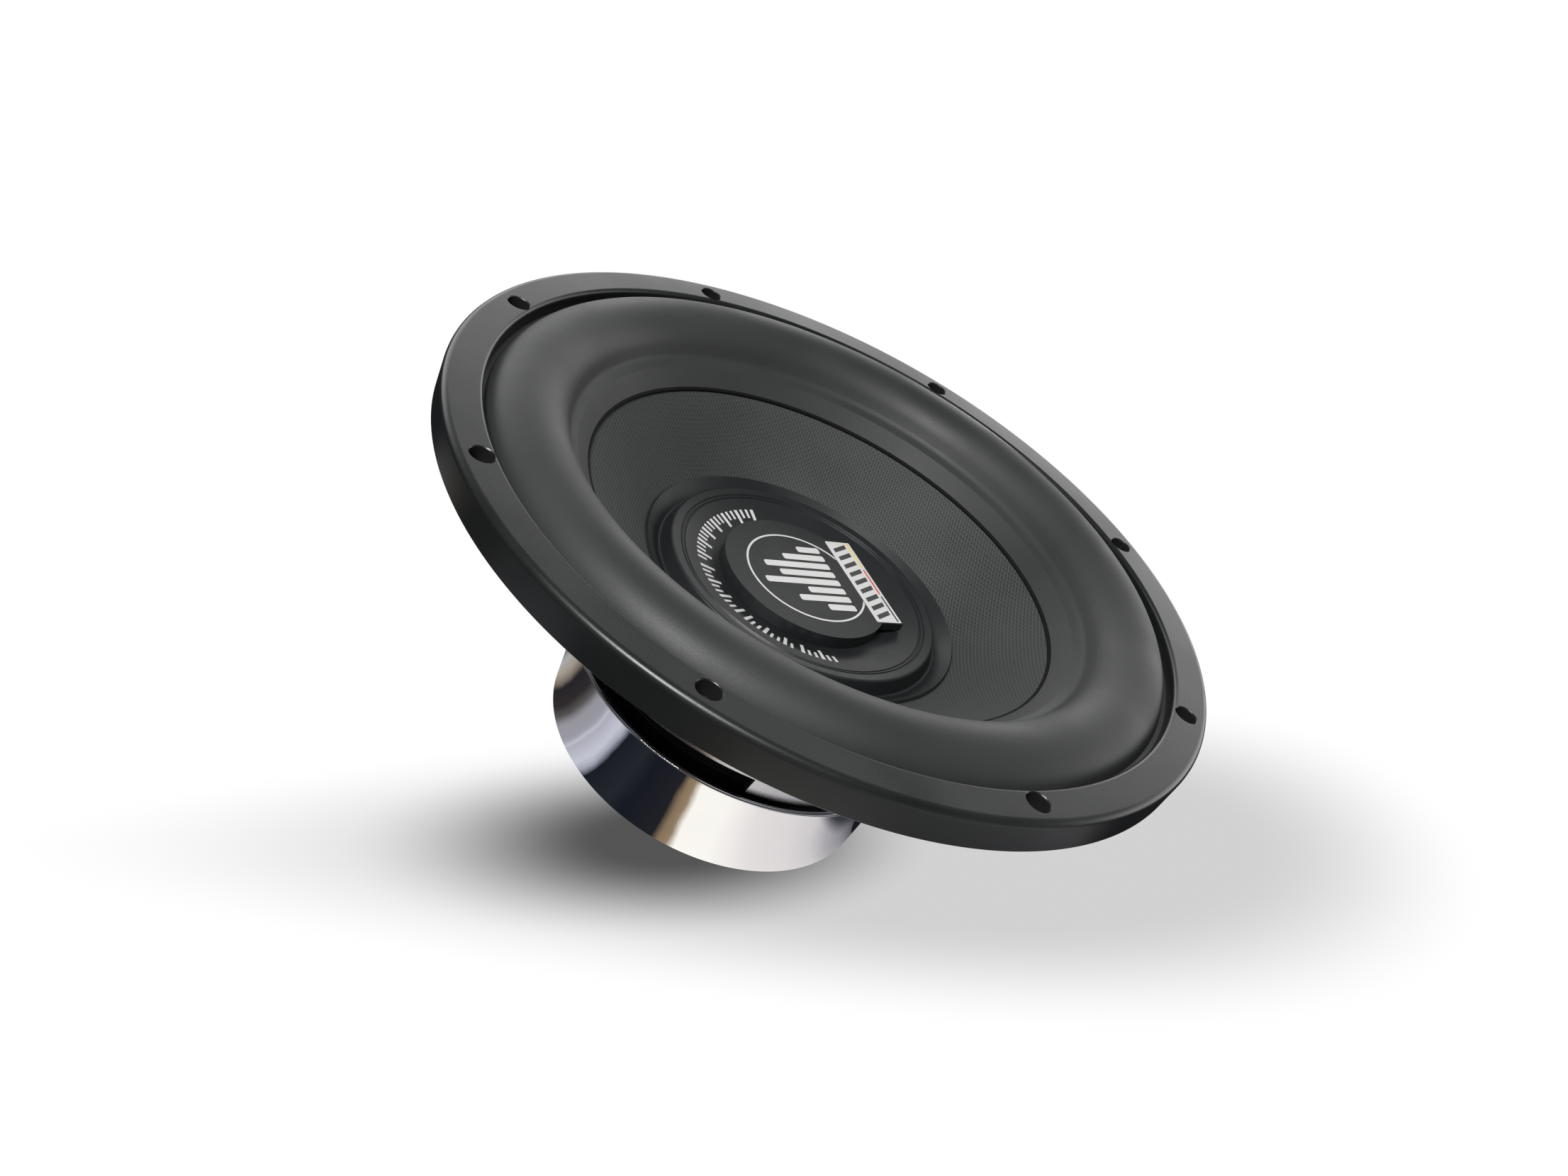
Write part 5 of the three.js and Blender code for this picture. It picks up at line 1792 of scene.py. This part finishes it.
@dataclass(frozen=True)
class Reflections(Finish):
    """A glowing ground hidden from the camera that paints the polished cover's reflections and gives some
    bounce light: stripes all round it, and beyond that dark and pale sides.
    """

    stripes: tuple[tuple[float, RGB], ...] = (
        (176.0, (0.010, 0.010, 0.014)), (186.0, (0.44, 0.44, 0.44)), (193.0, (0.40, 0.35, 0.29)),
        (198.0, (0.20, 0.17, 0.14)), (200.5, (0.022, 0.020, 0.024)), (210.0, (0.034, 0.028, 0.030)),
        (215.0, (0.11, 0.105, 0.10)), (219.0, (0.36, 0.35, 0.38)), (225.0, (0.38, 0.38, 0.43)),
        (227.6, (0.48, 0.48, 0.54)), (228.4, (0.95, 0.95, 1.00)), (229.2, (0.50, 0.50, 0.57)),
        (236.0, (0.66, 0.67, 0.75)), (239.5, (0.40, 0.41, 0.48)), (241.5, (0.012, 0.014, 0.022)),
        (252.0, (0.020, 0.024, 0.030)), (258.0, (0.010, 0.012, 0.018)), (271.5, (0.018, 0.018, 0.024)),
        (274.0, (0.28, 0.20, 0.12)), (277.5, (0.36, 0.26, 0.16)), (279.5, (1.15, 1.12, 1.02)),
        (292.0, (1.15, 1.12, 1.04)), (306.0, (0.92, 0.88, 0.85)), (322.0, (0.86, 0.82, 0.80)),
        (334.0, (0.74, 0.71, 0.70)), (343.0, (0.48, 0.46, 0.48)), (352.0, (0.32, 0.31, 0.34)),
        (359.0, (0.12, 0.12, 0.13)),
    )
    patch: RGB = (0.045, 0.048, 0.058)
    dark_side: RGB = (0.015, 0.015, 0.018)
    patch_deg: tuple[float, float] = (300.0, 318.0)
    patch_r: tuple[float, float] = (0.128, 0.142)
    patch_bend_deg: tuple[float, float] = (310.0, 352.0)
    patch_bend: float = 0.05
    pale_side: RGB = (0.55, 0.55, 0.57)
    side_deg: tuple[float, float] = (268.0, 325.0)
    side_r: tuple[float, float] = (0.23, 0.30)

    def material(self) -> bpy.types.Material:
        """The stripes, by their angle round the axis, with ragged edges."""
        graph = Graph(self.name)
        x, y, _ = graph.axes()
        angle = (y.math("ARCTAN2", x) * (180.0 / math.pi) + 360.0).math("MODULO", 360.0)
        ragged = (graph.noise(18.0, 3.0) - 0.5) * 4.5 + (graph.noise(110.0, 2.0) - 0.5) * 1.4
        place = (angle + ragged + 360.0).math("MODULO", 360.0) / 360.0
        stops = [(degrees / 360.0, colour) for degrees, colour in self.stripes]
        ramp = graph.node("ShaderNodeValToRGB", {"stops": stops}, {"Fac": place})
        graph.feed(graph.shader.inputs["Base Color"], (0.0, 0.0, 0.0))
        graph.feed(graph.shader.inputs["Specular IOR Level"], 0.0)
        radius = graph.radius()
        reach = radius + angle.smooth(*self.patch_bend_deg) * self.patch_bend
        far = reach.smooth(*self.patch_r) * angle.smooth(*self.patch_deg)
        striped = graph.mix(far, ramp.outputs["Color"], self.patch)
        beyond = graph.mix(angle.smooth(*self.side_deg), self.dark_side, self.pale_side)
        ground = graph.mix(radius.smooth(*self.side_r), striped, beyond)
        # painted reflection: this glowing colour is what the chrome mirrors
        graph.feed(graph.shader.inputs["Emission Color"], ground)
        graph.feed(graph.shader.inputs["Emission Strength"], 1.0)
        return graph.material


@dataclass
class Studio:
    """The camera, the pale paper, the sky, one soft light, and the ground that the chrome mirrors."""

    azimuth_deg: float = -86.935
    elevation_deg: float = 26.999
    distance: float = 0.570688
    aim: tuple[float, float] = (-0.000551, -0.074834)
    roll_deg: float = 30.04
    lens_mm: float = 35.215
    floor_half: float = 60.0
    ground_r: float = 4.0
    sky_strength: float = 2.3
    sky_by_height: tuple[tuple[float, float], ...] = (
        (0.0, 1.0), (0.37, 1.0), (0.47, 0.42), (0.54, 0.20), (0.61, 0.05), (1.0, 0.12))
    sky_by_side: tuple[tuple[float, float], ...] = ((0.0, 0.06), (0.12, 0.15), (0.45, 1.0), (1.0, 1.0))

    def camera(self) -> None:
        """Places the camera."""
        azimuth, elevation = math.radians(self.azimuth_deg), math.radians(self.elevation_deg)
        back = Vector((math.cos(azimuth) * math.cos(elevation), math.sin(azimuth) * math.cos(elevation),
                       math.sin(elevation)))
        place = Vector((0.0, 0.0, PLAN.face)) + back * self.distance
        ahead = (Vector((*self.aim, PLAN.face)) - place).normalized()
        level = ahead.cross(Vector((0.0, 0.0, 1.0))).normalized()
        upright = level.cross(ahead)
        roll = math.radians(self.roll_deg)
        right = level * math.cos(roll) + upright * math.sin(roll)
        above = upright * math.cos(roll) - level * math.sin(roll)
        data = bpy.data.cameras.new("camera")
        data.lens, data.sensor_width, data.clip_end = self.lens_mm, 36.0, 200.0
        camera = bpy.data.objects.new("camera", data)
        camera.matrix_world = Matrix.Translation(place) @ Matrix((right, above, -ahead)).transposed().to_4x4()
        bpy.context.scene.collection.objects.link(camera)
        bpy.context.scene.camera = camera

    def sky(self) -> None:
        """A sky that is bright at the far horizon, dim overhead and dark behind the camera."""
        scene = bpy.context.scene
        scene.view_settings.view_transform = "Standard"
        scene.world = bpy.data.worlds.new("pale")
        scene.world.use_nodes = True
        tree = scene.world.node_tree
        background = tree.nodes["Background"]
        parts = tree.nodes.new("ShaderNodeSeparateXYZ")
        tree.links.new(tree.nodes.new("ShaderNodeTexCoord").outputs["Generated"], parts.inputs[0])
        height = self.shaded(tree, parts.outputs["Z"], self.sky_by_height)
        side = self.shaded(tree, parts.outputs["Y"], self.sky_by_side)
        both = tree.nodes.new("ShaderNodeMix")
        both.data_type, both.blend_type = "RGBA", "MULTIPLY"
        both.inputs[0].default_value = 1.0
        tree.links.new(height, both.inputs[6])
        tree.links.new(side, both.inputs[7])
        tree.links.new(both.outputs[2], background.inputs["Color"])
        background.inputs["Strength"].default_value = self.sky_strength

    def shaded(self, tree: bpy.types.NodeTree, socket: bpy.types.NodeSocket,
               stops: tuple[tuple[float, float], ...]) -> bpy.types.NodeSocket:
        """A grey level from a number between 0 and 1.

        Args:
            tree: the sky's nodes.
            socket: the number.
            stops: places and their levels.
        Returns:
            The level's socket.
        """
        ramp = tree.nodes.new("ShaderNodeValToRGB")
        elements = ramp.color_ramp.elements
        while len(elements) < len(stops):
            elements.new(0.5)
        for element, (place, level) in zip(elements, stops):
            element.position, element.color = place, (level, level, level, 1.0)
        tree.links.new(socket, ramp.inputs["Fac"])
        return ramp.outputs["Color"]

    def ground(self) -> None:
        """The paper, and the ground that only reflections see."""
        h = self.floor_half
        floor = Piece("floor", Shape.raised([(-h, -h), (h, -h), (h, h), (-h, h)], -0.01, -0.0004)).object
        paper = Paper("floor_paper", "", (1.0, 1.0, 1.0), (0.0, 0.0, 0.0), 1.0)
        floor.data.materials.append(paper.material())
        floor.visible_glossy = floor.visible_diffuse = False
        outline = section(0.0, self.ground_r, -0.3 * MM, -0.1 * MM)
        mirror = Piece("mirrored_ground", Shape.turned(outline, Turn.SMALL)).object
        stripes = Reflections("mirrored_ground", "", (0, 0, 0), (0, 0, 0), 1.0)
        mirror.data.materials.append(stripes.material())
        mirror.visible_camera = mirror.visible_shadow = False

    def lamp(self, name: str, place: RGB, size: float, power: float, target: RGB = (0.0, 0.0, 0.1)) -> None:
        """A square soft light that looks at a point.

        Args:
            name: its name.
            place: where it hangs.
            size: the length of its side.
            power: its power in watts.
            target: the point that it looks at.
        """
        data = bpy.data.lights.new(name, "AREA")
        data.energy, data.size = power, size
        lamp = bpy.data.objects.new(name, data)
        lamp.location = place
        lamp.rotation_euler = (Vector(target) - Vector(place)).to_track_quat("-Z", "Y").to_euler()
        bpy.context.scene.collection.objects.link(lamp)

    def build(self) -> None:
        """Sets up the studio."""
        self.camera()
        self.sky()
        self.ground()
        self.lamp("front_softbox", (-0.42, -1.15, 1.6), 0.8, 48.0)


def main() -> None:
    """Builds the speaker's looks, sub-assembly by sub-assembly."""
    logging.basicConfig(level=logging.INFO, format="%(name)s: %(message)s")
    Studio().build()
    Rim().build()
    diaphragm = Diaphragm()
    diaphragm.build()
    Badge().build(diaphragm)
    terminals = Terminals()
    Basket().build(terminals)
    Motor().build()
    VoiceCoil().build()
    terminals.build()


if __name__ == "__main__":
    main()
